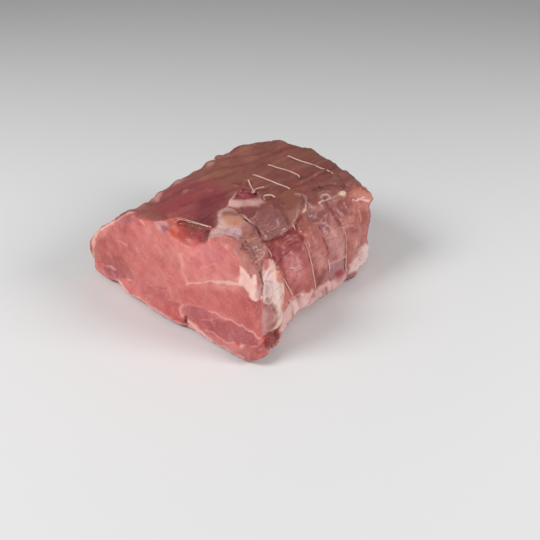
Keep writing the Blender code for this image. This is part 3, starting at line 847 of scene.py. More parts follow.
# Arcs about the middle of the roll; the pale ones are partly its fibres and partly painted streaks of
# highlight
ROLL_RINGS = [(7, 1.2, 16, 0.15, 0.8, 0.55, (190, 146, 140)), (8, 1.4, 17, 0.25, 0.9, 0.45, (122, 70, 68))]
TONGUE_SKIN = (170, 114, 102)
TONGUE_CENTRE = (238, 264)
TONGUE_RINGS = [(6, 1.1, 18, 0.1, 0.8, 0.55, (204, 158, 144)), (6, 1.3, 19, 0.2, 0.9, 0.4, (136, 84, 78))]
fold = within(FOLD, 0.9)
band = within(BAND, 1.6)
pocket = within(POCKET, 1.1)
roll = within(ROLL, 2.0)
tongue = within(TONGUE, 1.0)
paint(within(ROLL_BACK, 2.5) * 0.85, ROLL_BROWN)
grease(fold * 0.85, FOLD_SKIN)
grease(fold * ease(0.0, 0.9, combed(-28, 9, 1.6, 15)) * 0.4, FOLD_SINEW)
grease(band * 0.9, BAND_SKIN)
mottle_with(band, uneven(1.8, 33), 0.2, 0.9, 0.4, BAND_SHADE)
paint(pocket, POCKET_RED)
paint(roll * 0.9, ROLL_SKIN)
ring_with(roll, ROLL_CENTRE, ROLL_RINGS)
paint(tongue, TONGUE_SKIN)
ring_with(tongue, TONGUE_CENTRE, TONGUE_RINGS)
wet = np.maximum(wet, np.maximum(0.8 * np.maximum(fold, roll), 0.5 * np.maximum(tongue, pocket)))
FOLD_AREAS = [
    ([(217, 213.5), (221.6, 208.8), (223.4, 211), (220.4, 217), (218.5, 217.5)], 0.9, 0.7,
     (204, 160, 150), 0),
    ([(218, 218.5), (226, 218.5), (231, 222), (236, 227), (226, 229.5), (215, 229.5), (217, 224)], 1.8,
     0.8, (218, 182, 172), 0.2),
    ([(211.5, 229.8), (221, 229), (226, 232.5), (218, 236.5), (208.5, 240)], 1.5, 0.75, (212, 172, 164),
     0.1),
    ([(220, 211.5), (233, 211.5), (246, 218), (247, 223), (240, 217), (225, 216.5)], 2.0, 0.9,
     (148, 88, 76), -0.2),
    ([(220.5, 217), (228, 215), (240, 216.5), (246, 222), (240, 227), (228, 225)], 2.5, 0.85,
     (196, 134, 108), 0.5),
    # A painted highlight on the orange bulge of the fold
    ([(234, 219.5), (241, 221), (242, 225), (236, 225)], 1.8, 0.4, (204, 148, 114), 0.2),
    ([(243, 224), (252, 225), (254, 231), (246, 233), (240, 231)], 2.0, 0.7, (164, 98, 92), 0),
    ([(226, 229), (234, 228.5), (243, 230), (241, 236), (232, 235), (222, 232)], 1.5, 0.75,
     (204, 166, 174), 0.1),
    ([(240, 208.5), (250, 207.5), (257, 208), (257, 213), (254, 218), (249, 219), (243, 215.5)], 1.2,
     0.85, (130, 70, 68), -0.4),
    # Painted shade in the deep end of the pocket
    ([(249, 194), (255, 193), (257, 196), (251, 198.5)], 1.6, 0.5, (112, 46, 50), 0),
    ([(257, 207), (266, 206), (266, 216), (258, 222)], 2.5, 0.6, (140, 80, 72), 0),
    ([(249, 219), (256, 221), (262, 232), (268, 243), (262, 243), (254, 232)], 2.0, 0.7,
     (176, 122, 118), 0.5),
    ([(231, 201), (242, 200), (243, 204), (238, 207.5), (230, 206)], 1.5, 0.6, (222, 178, 172), 0.1),
    ([(244, 201), (254, 200), (258, 203), (252, 205)], 1.5, 0.5, (212, 182, 176), 0.1),
    ([(272, 202), (284, 203), (282, 208), (275, 208)], 2.0, 0.7, (118, 66, 68), -0.2),
    ([(262, 210), (272, 208), (282, 213), (283, 223), (272, 225), (262, 220)], 3.0, 0.45, (128, 76, 72),
     0),
    ([(286, 211), (292, 210), (300, 202), (302, 206), (297, 219), (290, 222)], 2.5, 0.7,
     (160, 114, 102), 0.1),
    ([(243, 232), (254, 231.5), (257, 236), (250, 239), (243, 239)], 1.5, 0.7, (160, 94, 82), 0.1),
    ([(246.5, 242), (252, 243), (256, 248), (254, 257), (249, 253)], 1.5, 0.65, (156, 106, 108), 0),
    ([(231, 242), (240, 245.5), (247, 256), (254, 266), (257.5, 275), (252, 276), (244, 268),
     (236, 256)], 2.2, 0.7, (194, 134, 124), 0),
]
FOLD_LINES = [
    (FOLD_EDGE, 0.8, 1.1, 0.6, (212, 170, 158), 0),
    ([(236.3, 192), (233, 198), (229.4, 205.3)], 0.8, 0.8, 0.9, (226, 184, 174), 0.3),
    ([(239, 193), (243, 196)], 0.8, 1.1, 0.5, (186, 118, 118), 0.2),
    ([(256.5, 191.5), (259.5, 197)], 0.8, 1.0, 0.6, (172, 120, 114), 0.3),
    ([(260, 199), (263.5, 201.5), (267, 202.5)], 0.8, 1.0, 0.6, (172, 126, 128), 0.5),
    ([(256.5, 205), (259, 206.5)], 1.0, 1.0, 0.6, (190, 146, 134), 0.3),
    ([(241.5, 214.5), (246, 217.5), (251.3, 223)], 0.7, 0.9, 0.8, (208, 156, 150), 0.4),
    ([(249, 219), (254, 217.5), (257, 212)], 0.9, 1.0, 0.8, (176, 126, 128), 0.3),
    # The next three are painted highlights in arcs on the rolled muscle
    ([(270, 230.7), (275, 228), (278, 225)], 0.5, 0.8, 0.75, (196, 154, 148), 0.3),
    ([(267.5, 232), (270.5, 233)], 0.6, 0.8, 0.7, (200, 156, 150), 0.2),
    ([(258, 226), (263, 227.5), (268, 226)], 0.5, 1.0, 0.4, (182, 136, 134), 0.1),
    ([(298, 210.5), (297.6, 214), (295.5, 219), (292, 223)], 0.7, 1.2, 0.75, (204, 160, 150), 0.4),
    ([(290, 224.6), (294, 229)], 0.7, 0.9, 0.6, (186, 142, 138), 0.3),
    ([(242, 240), (250, 239.5), (256, 237)], 0.5, 1.0, 0.6, (196, 142, 122), 0.3),
    ([(247, 243), (249, 248.5)], 0.6, 0.9, 0.5, (192, 142, 140), 0.2),
    ([(252, 248), (256, 245.5)], 0.6, 0.9, 0.5, (190, 142, 130), 0.2),
    ([(263.8, 247), (265, 251), (263, 256), (258, 260.5), (255.5, 262.5)], 0.9, 1.0, 0.75,
     (208, 158, 142), 0.4),
    # The last two are whitish threads of sinew, painted brighter as its sheen
    ([(229, 229.5), (236, 229.5), (241, 230)], 0.6, 0.9, 0.6, (222, 186, 184), 0.3),
    ([(232, 235), (237, 235.6), (241, 236.5)], 0.5, 0.9, 0.6, (206, 162, 172), 0.2),
]
FOLD_CREASES = [
    ([(238, 212.5), (244, 218), (252, 225), (256, 229), (259, 235), (263, 242), (268, 248), (270, 252)],
     1.0, 0.5, 0.35),
    ([(276, 207), (281, 211.5), (285, 217), (289, 225)], 0.9, 0.5, 0.3),
    ([(262, 241.5), (268, 243), (279, 238.5), (289, 232), (296, 225.5), (303, 214)], 1.2, 1.0, 0.5),
    ([(211, 235.5), (222, 233), (233, 238), (241.5, 242), (247, 250)], 0.7, 0.7, 0.3),
    ([(240.5, 241), (245, 248), (250, 255), (253, 259)], 0.7, 0.0, 0.15),
    ([(270, 233), (277, 229.5)], 0.5, 0.3, 0.3), ([(301, 197.5), (304, 201)], 1.0, 0.2, 0.3),
    # Painted shadow under a tail of the knot
    ([(264, 197.5), (272, 197.2)], 0.6, 0.4, 0.4),
]
lay_areas(FOLD_AREAS)
draw_lines(FOLD_LINES)
carve(FOLD_CREASES)

# Soft fat between the first two loops, with the cleft that parts it from the near end, and the thin film of
# fat over the red muscle below it
FILM = [(262, 304), (270, 304), (275, 311), (275, 321), (271, 330), (264, 336), (261, 332), (262, 318)]
SOFT_FAT = (255, 208, 196)
SOFT_SHADE = (226, 170, 164)
LUMP_FAT = (240, 204, 196)
LUMP_RISE = 0.25
LUMP_STREAKS = [
    (72, 12, 2.2, 20, 0.1, 0.9, 0.4, (242, 216, 206)), (68, 12, 2.0, 22, 0.2, 1.0, 0.3, (206, 170, 164)),
]
FILM_COLOUR = (184, 126, 124)
FILM_THREAD = (214, 168, 166)
PIT = ((267.4, 299.6), 1.3)
PIT_SHADE = (128, 90, 88)
PIT_DEPTH = 0.4
mass = within(FAT_MASS, 0.9)
lump = within(LUMP, 1.3)
height += LUMP_RISE * lump * uneven(5, 34)
grease(mass, SOFT_FAT)
mottle_with(mass, uneven(2.6, 35), 0.2, 1.0, 0.25, SOFT_SHADE)
grease(lump, LUMP_FAT)
streak_with(lump, LUMP_STREAKS)
paint(within(FILM, 2.4) * 0.9, FILM_COLOUR)
grease(within(FILM, 1.4) * ease(0.05, 0.7, combed(62, 9, 1.3, 23)) * 0.45, FILM_THREAD)
wet = np.maximum(wet, np.maximum(mass, lump))
FAT_AREAS = [
    ([(243, 274), (250, 279), (254, 288), (249, 290), (243, 281)], 3.0, 0.55, (238, 178, 174), 0),
    ([(249, 274.5), (252, 275), (252, 278), (249.5, 278)], 1.2, 0.7, (150, 100, 92), -0.3),
    ([(264.5, 285), (270, 285), (271, 296), (265, 297)], 2.0, 0.55, (206, 174, 174), 0),
    ([(262.5, 272), (270, 271), (272, 279), (266, 281), (262.5, 279)], 1.8, 0.9, (246, 212, 206), 0.3),
    ([(271, 274), (277, 273.5), (278, 278), (273, 280)], 1.4, 0.9, (250, 196, 176), 0.3),
    ([(270, 282), (281, 281), (283.5, 292), (281, 301), (275, 300), (271, 290)], 2.2, 0.7,
     (230, 202, 195), 0.3),
    ([(269.5, 264.5), (273, 264.5), (273, 272), (269, 272)], 1.2, 0.8, (236, 190, 174), 0.2),
    ([(263.5, 260), (269, 259), (269.5, 264), (267.5, 271), (264.5, 271), (262.8, 266)], 2.2, 0.9,
     (198, 102, 96), 0.1),
    ([(265, 250), (271, 252), (274, 259), (266, 259)], 1.5, 0.6, (142, 70, 68), -0.2),
    ([(274, 262), (279, 267), (280, 271), (276, 270)], 1.2, 0.85, (166, 84, 74), -0.2),
    ([(277, 268), (282.5, 272), (284.5, 282), (280.5, 284), (276, 280), (276, 275)], 2.0, 0.7,
     (200, 118, 104), 0),
    ([(282, 270), (286.5, 280), (290.5, 294), (289.5, 301), (284.5, 311), (282.5, 310), (285, 300),
     (284.5, 288)], 1.2, 0.85, (206, 122, 108), -0.3),
    ([(255, 285), (259.5, 286), (261, 294), (259, 301), (255.5, 298)], 1.8, 0.8, (190, 148, 143), 0),
    ([(259.5, 274), (263, 274), (264, 292), (261, 297), (259.5, 286)], 1.5, 0.6, (226, 184, 178), 0),
    ([(256.5, 262), (260.5, 262), (261, 274), (261, 284), (257.5, 283), (256.5, 274)], 1.2, 0.8,
     (182, 124, 114), 0.1),
    ([(262, 300), (270, 300), (275, 304), (264, 304.5)], 1.2, 0.7, (206, 166, 164), 0.1),
    ([(264.5, 304), (272, 304.5), (273, 312), (266, 311)], 1.8, 0.7, (168, 108, 112), 0),
    ([(263, 311), (267, 312), (267, 330), (263.5, 330), (262, 320)], 1.8, 0.7, (206, 156, 152), 0),
    ([(268.5, 314), (272.5, 314), (272.5, 324), (269.5, 329), (268, 324)], 1.6, 0.6, (176, 120, 112),
     0),
    ([(274, 303), (283, 306), (283, 320), (277.5, 326), (273, 321), (275.5, 312)], 2.0, 0.9,
     (230, 198, 182), 0.1),
]
FAT_LINES = [
    # A painted shadow line along a fold of the lump
    ([(264.5, 281.5), (268, 281), (272, 283)], 1.0, 1.3, 0.55, (190, 160, 154), -0.2),
    ([(262, 277), (264, 284), (263.5, 290), (261.5, 298)], 1.2, 1.0, 0.8, (244, 214, 204), 0.5),
    ([(274, 302), (277.3, 309), (276.8, 317), (274.5, 326), (270.5, 332)], 1.5, 1.1, 0.85,
     (224, 190, 176), 0.5),
    # A painted highlight, orange-white
    ([(275.5, 271.5), (278.5, 271.5)], 1.0, 1.0, 0.8, (252, 190, 172), 0.4),
    ([(266, 285), (267, 294)], 1.0, 1.8, 0.5, (196, 164, 158), -0.3),
    ([(270.5, 284), (273, 292), (276, 300)], 1.0, 1.8, 0.45, (206, 176, 174), -0.3),
    ([(265, 308), (269, 305)], 0.4, 0.7, 0.5, (204, 152, 152), 0.2),
    ([(268, 311), (272, 307)], 0.4, 0.7, 0.5, (204, 152, 152), 0.2),
    ([(279.5, 329), (279.8, 337), (276.5, 344), (270, 351)], 0.8, 1.0, 0.7, (190, 144, 124), 0.2),
]
FAT_CREASES = [
    ([(260.4, 264), (261, 272), (261.4, 280), (262, 288), (261, 296)], 0.7, 0.1, 0.15),
    ([(249, 300.5), (253, 302.5), (257, 304)], 0.8, 0.2, 0.15),
    ([(264.5, 335.5), (270, 333), (277.5, 328.5)], 1.0, 0.4, 0.4),
]
lay_areas(FAT_AREAS, fatty=True)
draw_lines(FAT_LINES)
carve(FAT_CREASES)
# Painted shade darkens a small pit in the fat, which is also dented a little
paint(spot(*PIT) * 0.6, PIT_SHADE)
height -= PIT_DEPTH * spot(*PIT)

# Side muscles between the loops, with silvery fibres, streaks of blood and a skirt of fat below; painted
# glints of moisture, a painted highlight along the back lobe and a painted shadow under it
UNDER_FAT = [
    (290, 300.5), (297, 298), (303, 293.5), (309, 292.5), (314, 289), (317, 287), (322, 284.5),
    (327, 281), (335, 280.5), (341, 279.5), (345, 273), (350, 269), (357, 266), (360, 257),
    (361.5, 248), (364, 243), (371, 246), (370, 264), (350, 287), (325, 302), (300, 319), (283, 334),
    (279, 330), (283, 315),
]
SECOND_BAY = [
    (262, 250), (272, 243), (288, 233.5), (297, 230), (306, 248), (313, 268), (314, 288), (296, 301),
    (288, 290), (280, 268), (270, 254),
]
THIRD_BAY = [
    (297, 220), (306, 207), (316, 224), (323, 236), (328, 258), (328, 276), (318, 288), (315, 270),
    (308, 247), (300, 232),
]
FOURTH_BAY = [
    (309, 204), (327, 208), (336, 221), (344, 240), (346, 262), (341, 282), (329, 282), (330, 262),
    (326, 242), (316, 222),
]
FIFTH_BAY = [(332, 206), (345, 203), (356, 210), (360, 224), (360, 244), (350, 256), (347, 240), (338, 220)]
LAST_BAY = [(350, 196), (364, 204), (366, 222), (366, 242), (361, 246), (361, 222), (354, 205)]
SIDE_AREAS = [
    (SECOND_BAY, 2.5, 0.85, (182, 102, 98), 0.3), (THIRD_BAY, 2.5, 0.85, (184, 114, 104), 0.3),
    (FOURTH_BAY, 2.5, 0.85, (200, 142, 137), 0.3), (FIFTH_BAY, 2.5, 0.85, (194, 128, 118), 0.3),
    (LAST_BAY, 2.5, 0.85, (186, 118, 106), 0.2),
    ([(278, 239), (288, 232), (297, 229), (302, 238), (302, 251), (292, 251), (284, 244)], 4, 0.85,
     (142, 54, 53), 0),
    ([(268, 250), (283, 244), (292, 250), (290, 264), (280, 268)], 4, 0.6, (176, 90, 96), 0),
    ([(282, 258), (292, 257), (303, 261), (303, 276), (298, 290), (291, 296), (286, 280)], 4, 0.75,
     (212, 133, 129), 0.3),
    ([(291, 272), (304, 270), (308, 280), (302, 287), (292, 284)], 4, 0.5, (200, 122, 120), 0.2),
    ([(284, 267), (291, 258), (298, 262), (297, 276), (290, 283), (286, 278)], 3, 0.6, (230, 152, 150),
     0.2),
    ([(315, 253), (322, 251), (324, 264), (318, 273), (315.8, 264)], 2.5, 0.65, (216, 154, 148), 0.1),
    ([(309, 231), (316, 230), (318, 243), (313, 246)], 3, 0.45, (156, 88, 80), 0),
    ([(316, 218), (323, 218), (325, 226), (319, 230)], 2.5, 0.5, (140, 80, 82), 0),
    ([(302, 258), (307.5, 260), (308, 267), (303.5, 267)], 2, 0.7, (170, 76, 62), 0),
    ([(305.5, 284), (310.5, 285), (310, 293), (306, 293)], 1.8, 0.7, (172, 84, 68), 0),
    ([(291, 286), (300, 286), (299, 293), (292, 294)], 2, 0.5, (152, 80, 82), -0.1),
    ([(300, 214), (309, 210), (313, 221), (310, 230), (301, 230)], 3, 0.75, (150, 90, 76), 0.2),
    ([(296, 219), (302, 213.5), (302, 221), (298, 225)], 1.2, 0.8, (134, 62, 62), -0.3),
    ([(311, 212), (315.5, 212), (316, 221), (312, 221)], 1.6, 0.8, (134, 88, 92), 0),
    ([(316, 213), (324, 211), (324.5, 218), (319, 223), (314.5, 220)], 2.2, 0.75, (138, 74, 76), -0.2),
    ([(316, 284), (316, 279), (320, 274), (325.5, 267.5), (328.5, 271), (322.5, 282), (317, 288)], 1.2,
     0.8, (138, 80, 76), -0.3),
    ([(317, 204), (329, 206), (331, 220), (329, 233), (325, 234), (317, 222)], 3.5, 0.85, (144, 82, 76),
     0.1),
    ([(334, 204), (346, 204), (352, 214), (344, 217), (337, 216)], 3, 0.8, (138, 72, 65), 0),
    ([(318, 193), (330, 192), (333, 198), (328, 203), (319, 201)], 2, 0.6, (164, 110, 102), 0.3),
    ([(318, 224), (329, 223), (330, 231), (320, 232)], 2.2, 0.6, (150, 86, 92), 0),
    ([(335, 222), (340, 224), (342, 236), (338, 238), (335, 230)], 2, 0.5, (172, 124, 100), 0),
    ([(329, 226), (335, 227), (336, 242), (330, 242)], 2.5, 0.5, (204, 142, 136), 0.2),
    ([(330.5, 264), (337, 262), (345, 258), (346, 268), (344, 274), (334, 280), (329.5, 279),
     (329, 270)], 2.6, 0.8, (162, 112, 116), -0.2),
    ([(335, 272), (341, 269), (343, 273), (340, 278), (335.5, 277.5)], 2.0, 0.85, (150, 58, 62), 0),
    ([(331, 257), (338, 256), (338, 259), (332, 260.5)], 1.0, 0.5, (150, 82, 78), 0),
    ([(335, 200), (342, 199), (343, 207), (336, 208)], 2.0, 0.8, (150, 82, 74), -0.2),
    ([(350, 226.5), (358, 225.5), (359, 233), (351, 234.5)], 2.6, 0.8, (160, 84, 82), 0),
    ([(354, 214), (362, 211), (369, 212), (369, 221), (361, 226), (354, 225)], 2.0, 0.8, (160, 84, 74),
     0),
    ([(346, 194), (354, 189), (364, 187), (371, 193), (372, 200), (368, 203), (352, 202)], 3.0, 0.95,
     (194, 120, 104), 1.2),
    ([(356, 194), (370, 193), (371, 200), (366, 202), (357, 201)], 2.0, 0.8, (206, 136, 124), 0.8),
    # Painted shadow under the back lobe
    ([(349, 203.5), (353, 204), (353, 207), (349, 207)], 1.6, 0.6, (156, 84, 70), 0),
    ([(352, 202.5), (368, 204), (368, 209), (353, 208)], 1.8, 0.9, (208, 136, 122), 0.6),
    ([(337.5, 194.5), (339.5, 191), (343, 190), (345, 193), (344, 196.5), (340, 196.5)], 0.9, 1.0,
     (222, 196, 170), 1.2),
    ([(307, 203), (311, 203), (311, 209), (307, 209)], 1.4, 0.8, (170, 124, 126), 0.4),
]
UNDER_AREAS = [
    ([(319.5, 291), (324, 287.5), (327.5, 287.5), (328, 293), (322, 296)], 1.6, 0.6, (164, 112, 110),
     -0.3),
    ([(346, 274), (352, 272.5), (360, 269), (356, 277), (348, 282), (344, 281)], 1.2, 0.85,
     (146, 92, 96), 0),
    ([(361, 247), (366, 243), (369, 250), (366, 260), (358, 268), (349, 272), (345, 272), (350, 264),
     (355, 258), (358, 251)], 1.8, 0.85, (222, 196, 192), 0.8),
    ([(292, 304), (306, 298), (310, 302), (300, 312), (292, 316)], 2.5, 0.6, (236, 204, 198), 0),
    ([(335, 276), (344, 275), (343, 281), (337, 282)], 1.5, 0.5, (166, 102, 104), 0),
]
SIDE_LINES = [
    ([(291, 299), (297, 296), (304.5, 291)], 0.8, 0.9, 0.8, (222, 174, 164), 0.4),
    ([(293, 296.5), (301, 291.5)], 0.5, 0.8, 0.6, (206, 150, 142), 0.2),
    ([(330, 263.5), (336, 261), (340, 258.5), (344.5, 256.5)], 0.8, 0.9, 0.8, (204, 166, 160), 0.6),
    ([(328.3, 262), (329.3, 268)], 1.2, 1.0, 0.7, (214, 180, 174), 0.4),
    ([(333.5, 263), (334, 271)], 0.6, 1.0, 0.6, (186, 140, 146), 0.1),
    ([(328, 270), (325, 276), (321.5, 282)], 0.7, 0.9, 0.6, (186, 138, 128), 0.2),
    ([(317.5, 239.5), (314, 247)], 0.6, 0.9, 0.45, (204, 152, 142), 0.2),
    ([(308, 242), (309, 248), (311, 253)], 0.8, 1.1, 0.5, (200, 148, 138), 0.2),
    ([(311.5, 257.5), (314.5, 255.5)], 0.7, 0.9, 0.6, (214, 162, 150), 0.2),
    # The next three are painted glints of moisture on the second bay
    ([(289, 268.5), (294, 268), (299, 266)], 0.7, 0.9, 0.8, (226, 176, 172), 0.3),
    ([(293, 271), (297, 270), (301.5, 268)], 0.6, 0.9, 0.7, (220, 168, 164), 0.2),
    ([(295, 262), (298.5, 257)], 0.7, 0.9, 0.7, (218, 166, 164), 0.2),
    ([(342, 228.5), (345, 227), (348.5, 226)], 0.7, 0.9, 0.6, (208, 150, 140), 0.2),
    ([(358, 209.5), (360.3, 216), (361, 222)], 0.7, 1.0, 0.7, (210, 160, 144), 0.3),
    # A painted glint
    ([(356, 241.5), (353.5, 247)], 0.9, 1.0, 0.7, (214, 164, 152), 0.2),
    # A painted highlight along the back lobe
    ([(352, 200.8), (358, 200), (367, 201.3)], 0.9, 1.0, 0.85, (250, 200, 190), 0.7),
    ([(319, 203.5), (322.5, 201)], 1.4, 0.9, 0.9, (228, 194, 164), 0.6),
    ([(321, 198.5), (323, 195.5), (327.5, 194.5), (329.5, 196.5), (327.5, 199), (323.5, 201)], 0.9, 0.9,
     0.8, (214, 182, 174), 0.5),
    ([(329, 199), (334, 197.5), (338, 196)], 0.7, 0.9, 0.6, (200, 156, 142), 0.4),
    ([(319.5, 193), (325, 191), (330, 191.5)], 0.7, 1.1, 0.6, (174, 130, 130), 0.3),
    ([(296, 194.5), (301, 195), (304.5, 197), (305.5, 200.5), (304.6, 205)], 1.4, 1.4, 0.7,
     (178, 142, 136), 0.4),
    ([(305, 205.5), (304, 209), (303, 212.5)], 1.2, 0.9, 0.9, (228, 194, 170), 0.9),
]
SIDE_CREASES = [
    ([(316, 288), (313, 296), (309, 303)], 1.0, 0.8, 0.3),
    ([(325.5, 287), (326.5, 295)], 0.9, 0.6, 0.35),
    ([(291.5, 300), (293, 309), (292, 318)], 0.9, 0.5, 0.2),
    ([(330, 209), (334, 215), (337, 219.5), (340, 223)], 1.2, 0.2, 0.4),
    ([(361, 190), (366, 191.5)], 0.8, 0.4, 0.5), ([(349, 204), (358, 205), (366, 206)], 0.9, 0.2, 0.1),
    ([(322.5, 197.5), (326, 196.8)], 0.7, 0.1, 0.2), ([(300.5, 226), (303.5, 233)], 0.8, 0.5, 0.4),
]
SIDE_DOTS = [
    ((305.5, 235.5), 1.3, 0.9, (222, 172, 158)), ((305.4, 241), 1.0, 0.7, (206, 156, 142)),
    ((306.8, 243.5), 0.9, 0.7, (204, 156, 142)), ((306.5, 283), 1.3, 0.6, (214, 160, 150)),
    ((353, 210), 1.0, 0.8, (214, 166, 154)), ((341.5, 219.5), 1.3, 0.8, (220, 156, 140)),
    ((322.3, 223), 1.2, 0.8, (208, 162, 166)), ((311.5, 207.2), 1.2, 0.8, (208, 160, 148)),
    ((316, 217), 1.2, 0.5, (196, 156, 160)), ((318.3, 219), 0.9, 0.7, (190, 146, 150)),
    ((349, 247), 1.0, 0.6, (132, 80, 72)), ((344.2, 203.7), 3.0, 0.9, (132, 68, 64)),
    ((344.3, 203.6), 1.2, 0.95, (206, 156, 152)),
]
SILVER = (216, 166, 158)
SIDE_STREAKS = [(54, 11, 1.3, 25, 0.25, 1.0, 0.28, (140, 70, 66))]
SKIRT_FAT = (222, 180, 174)
SKIRT_PINK = (204, 146, 138)
SKIRT_GREY = (212, 176, 182)
SKIRT_RISE = 0.2
SKIRT_WAVES = 0.3
DOT_RISE = 0.2
right = outer * seen * ease(RIGHT_SIDE, 46, x)
silver = right * ease(0.25, 0.95, combed(50, 9, 0.9, 24)) * ease(-0.5, 0.6, uneven(6, 26))
lay_areas(SIDE_AREAS)
paint(silver * 0.4, SILVER)
streak_with(right, SIDE_STREAKS)
under = within(UNDER_FAT, 1.4 + 1.2 * ease(-0.5, 1, uneven(4, 38)))
height += SKIRT_RISE * under + SKIRT_WAVES * under * uneven(5, 36)
grease(under * 0.9, SKIRT_FAT)
mottle_with(under, uneven(5, 37), 0.2, 1.1, 0.45, SKIRT_PINK)
mottle_with(under, uneven(7, 39), 0.2, 1.0, 0.4, SKIRT_GREY)
lay_areas(UNDER_AREAS)
draw_lines(SIDE_LINES)
carve(SIDE_CREASES)
for place, reach, strength, colour in SIDE_DOTS:
    paint(spot(place, reach) * strength, colour)
    height += DOT_RISE * spot(place, reach)

# The far end is cut across as well: seams of fat wander between its muscles.
FAR_RED = (190, 96, 94)
FAR_SEAM = (236, 170, 160)
FAR_RIM = (236, 184, 172)
FAR_SEAM_SEEDS = (42, 43)
paint(far_cut, FLESH)
mottle_with(far_cut, uneven(22, 41), 0.0, 0.5, 0.5, FAR_RED)
for seed in FAR_SEAM_SEEDS:
    seam_gap = np.abs(uneven(34, seed, (1, 6, 1)) + 0.1 * uneven(6, seed + 5))
    seam = ease(0.07, 0.02, seam_gap) * ease(-0.6, 0.2, uneven(15, seed + 9))
    grease(far_cut * seam * 0.75, FAR_SEAM)
grease(far_cut * ease(9, 5, z + 2 * mottle) * 0.8, FAR_RIM)

# Painted shade darkens the edge behind the last loop, where the right side turns away from the eye.
FAR_EDGE_SHADE = (136, 74, 66)
far_edge_shade = ease(352, 368, view[:, 0]) * ease(0.45, 0.1, facing) * ease(246, 238, view[:, 1])
paint(outer * far_edge_shade * 0.5, FAR_EDGE_SHADE)

# The grain of the muscles, which fat hides
FAT_COVER = 0.85
LONG_FIBRE_RISE = 0.35
FIBRE_RISE = 0.2
SILVER_RISE = 0.12
BLOTCH_RISE = 0.5
RESTING = 0.7  # what lies lower than this rests on the floor
strands = LONG_FIBRE_RISE * long_fibre + FIBRE_RISE * fibre + SILVER_RISE * silver
height += outer * (1 - FAT_COVER * fat) * strands + BLOTCH_RISE * outer * blotch
co += normals * (height * MM)[:, None]
co[:, 2] = np.where(co[:, 2] < RESTING * MM, 0, co[:, 2])
meat_mesh.vertices.foreach_set("co", co.ravel())
meat_mesh.update()

# Colours are kept on the points as linear light.
share = np.clip(tone, 0, 255) / 255
linear = np.where(share <= 0.04045, share / 12.92, ((share + 0.055) / 1.055) ** 2.4)
layer = meat_mesh.attributes.new("tone", "FLOAT_COLOR", "POINT")
layer.data.foreach_set("color", np.concatenate([linear, np.ones((len(co), 1))], 1).ravel())
for name, values in (("fat", fat), ("cut", cut), ("wet", wet)):
    layer = meat_mesh.attributes.new(name, "FLOAT", "POINT")
    layer.data.foreach_set("value", values.astype(np.float32))

meat_mesh.polygons.foreach_set("use_smooth", [True] * len(meat_mesh.polygons))
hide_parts("pork_collar")
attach(meat, "root")

# Noise in patches, on the piece's own coordinates: the grain of meat and the stains and threads of twine
PATCH_ROUGHNESS = 0.55
patches = bpy.data.node_groups.new("patches", "ShaderNodeTree")
patches.interface.new_socket("Stretch", in_out="INPUT", socket_type="NodeSocketVector")
for name in ("Scale", "Detail", "Low", "High"):
    patches.interface.new_socket(name, in_out="INPUT", socket_type="NodeSocketFloat")
for name in ("Noise", "Mask"):
    patches.interface.new_socket(name, in_out="OUTPUT", socket_type="NodeSocketFloat")
given = patches.nodes.new("NodeGroupInput")
made = patches.nodes.new("NodeGroupOutput")
own_place = patches.nodes.new("ShaderNodeTexCoord")
stretched = patches.nodes.new("ShaderNodeMapping")
lumps = patches.nodes.new("ShaderNodeTexNoise")
lumps.inputs["Roughness"].default_value = PATCH_ROUGHNESS
cut_off = patches.nodes.new("ShaderNodeMapRange")
for source, target in (
    (own_place.outputs["Object"], stretched.inputs["Vector"]),
    (given.outputs["Stretch"], stretched.inputs["Scale"]),
    (stretched.outputs["Vector"], lumps.inputs["Vector"]),
    (given.outputs["Scale"], lumps.inputs["Scale"]),
    (given.outputs["Detail"], lumps.inputs["Detail"]),
    (lumps.outputs["Fac"], cut_off.inputs["Value"]),
    (given.outputs["Low"], cut_off.inputs["From Min"]),
    (given.outputs["High"], cut_off.inputs["From Max"]),
    (lumps.outputs["Fac"], made.inputs["Noise"]),
    (cut_off.outputs["Result"], made.inputs["Mask"]),
):
    patches.links.new(source, target)

meat_finish = bpy.data.materials.new("raw_pork")
meat_finish.use_nodes = True
nodes = meat_finish.node_tree.nodes
links = meat_finish.node_tree.links
shader = nodes["Principled BSDF"]
shader.inputs["Subsurface Weight"].default_value = 0.22
shader.inputs["Subsurface Radius"].default_value = (1.0, 0.3, 0.2)
shader.inputs["Subsurface Scale"].default_value = 0.0025
shader.inputs["Specular IOR Level"].default_value = 0.2
shader.inputs["Coat Roughness"].default_value = 0.2
shader.inputs["Coat IOR"].default_value = 1.38


def attribute(name, output="Fac"):
    """What a point of the meat holds under that name."""
    node = nodes.new("ShaderNodeAttribute")
    node.attribute_name = name
    return node.outputs[output]


def place_patches(scale, detail, low, high, stretch=(1, 1, 1)):
    """Patches of one over scale of a metre, as plain noise and as a mask that rises from low to high."""
    node = nodes.new("ShaderNodeGroup")
    node.node_tree = patches
    values = {"Stretch": stretch, "Scale": scale, "Detail": detail, "Low": low, "High": high}
    for name, value in values.items():
        node.inputs[name].default_value = value
    return node.outputs["Noise"], node.outputs["Mask"]


def spread(value, low, high, to_low, to_high):
    """A value from low to high made one from to_low to to_high."""
    node = nodes.new("ShaderNodeMapRange")
    node.inputs["From Min"].default_value = low
    node.inputs["From Max"].default_value = high
    node.inputs["To Min"].default_value = to_low
    node.inputs["To Max"].default_value = to_high
    links.new(value, node.inputs["Value"])
    return node.outputs["Result"]


def reckon(operation, first, second):
    """The outcome of an operation on two values, each a number or another node's output."""
    node = nodes.new("ShaderNodeMath")
    node.operation = operation
    for socket, value in zip(node.inputs, (first, second)):
        if isinstance(value, (int, float)):
            socket.default_value = value
        else:
            links.new(value, socket)
    return node.outputs["Value"]


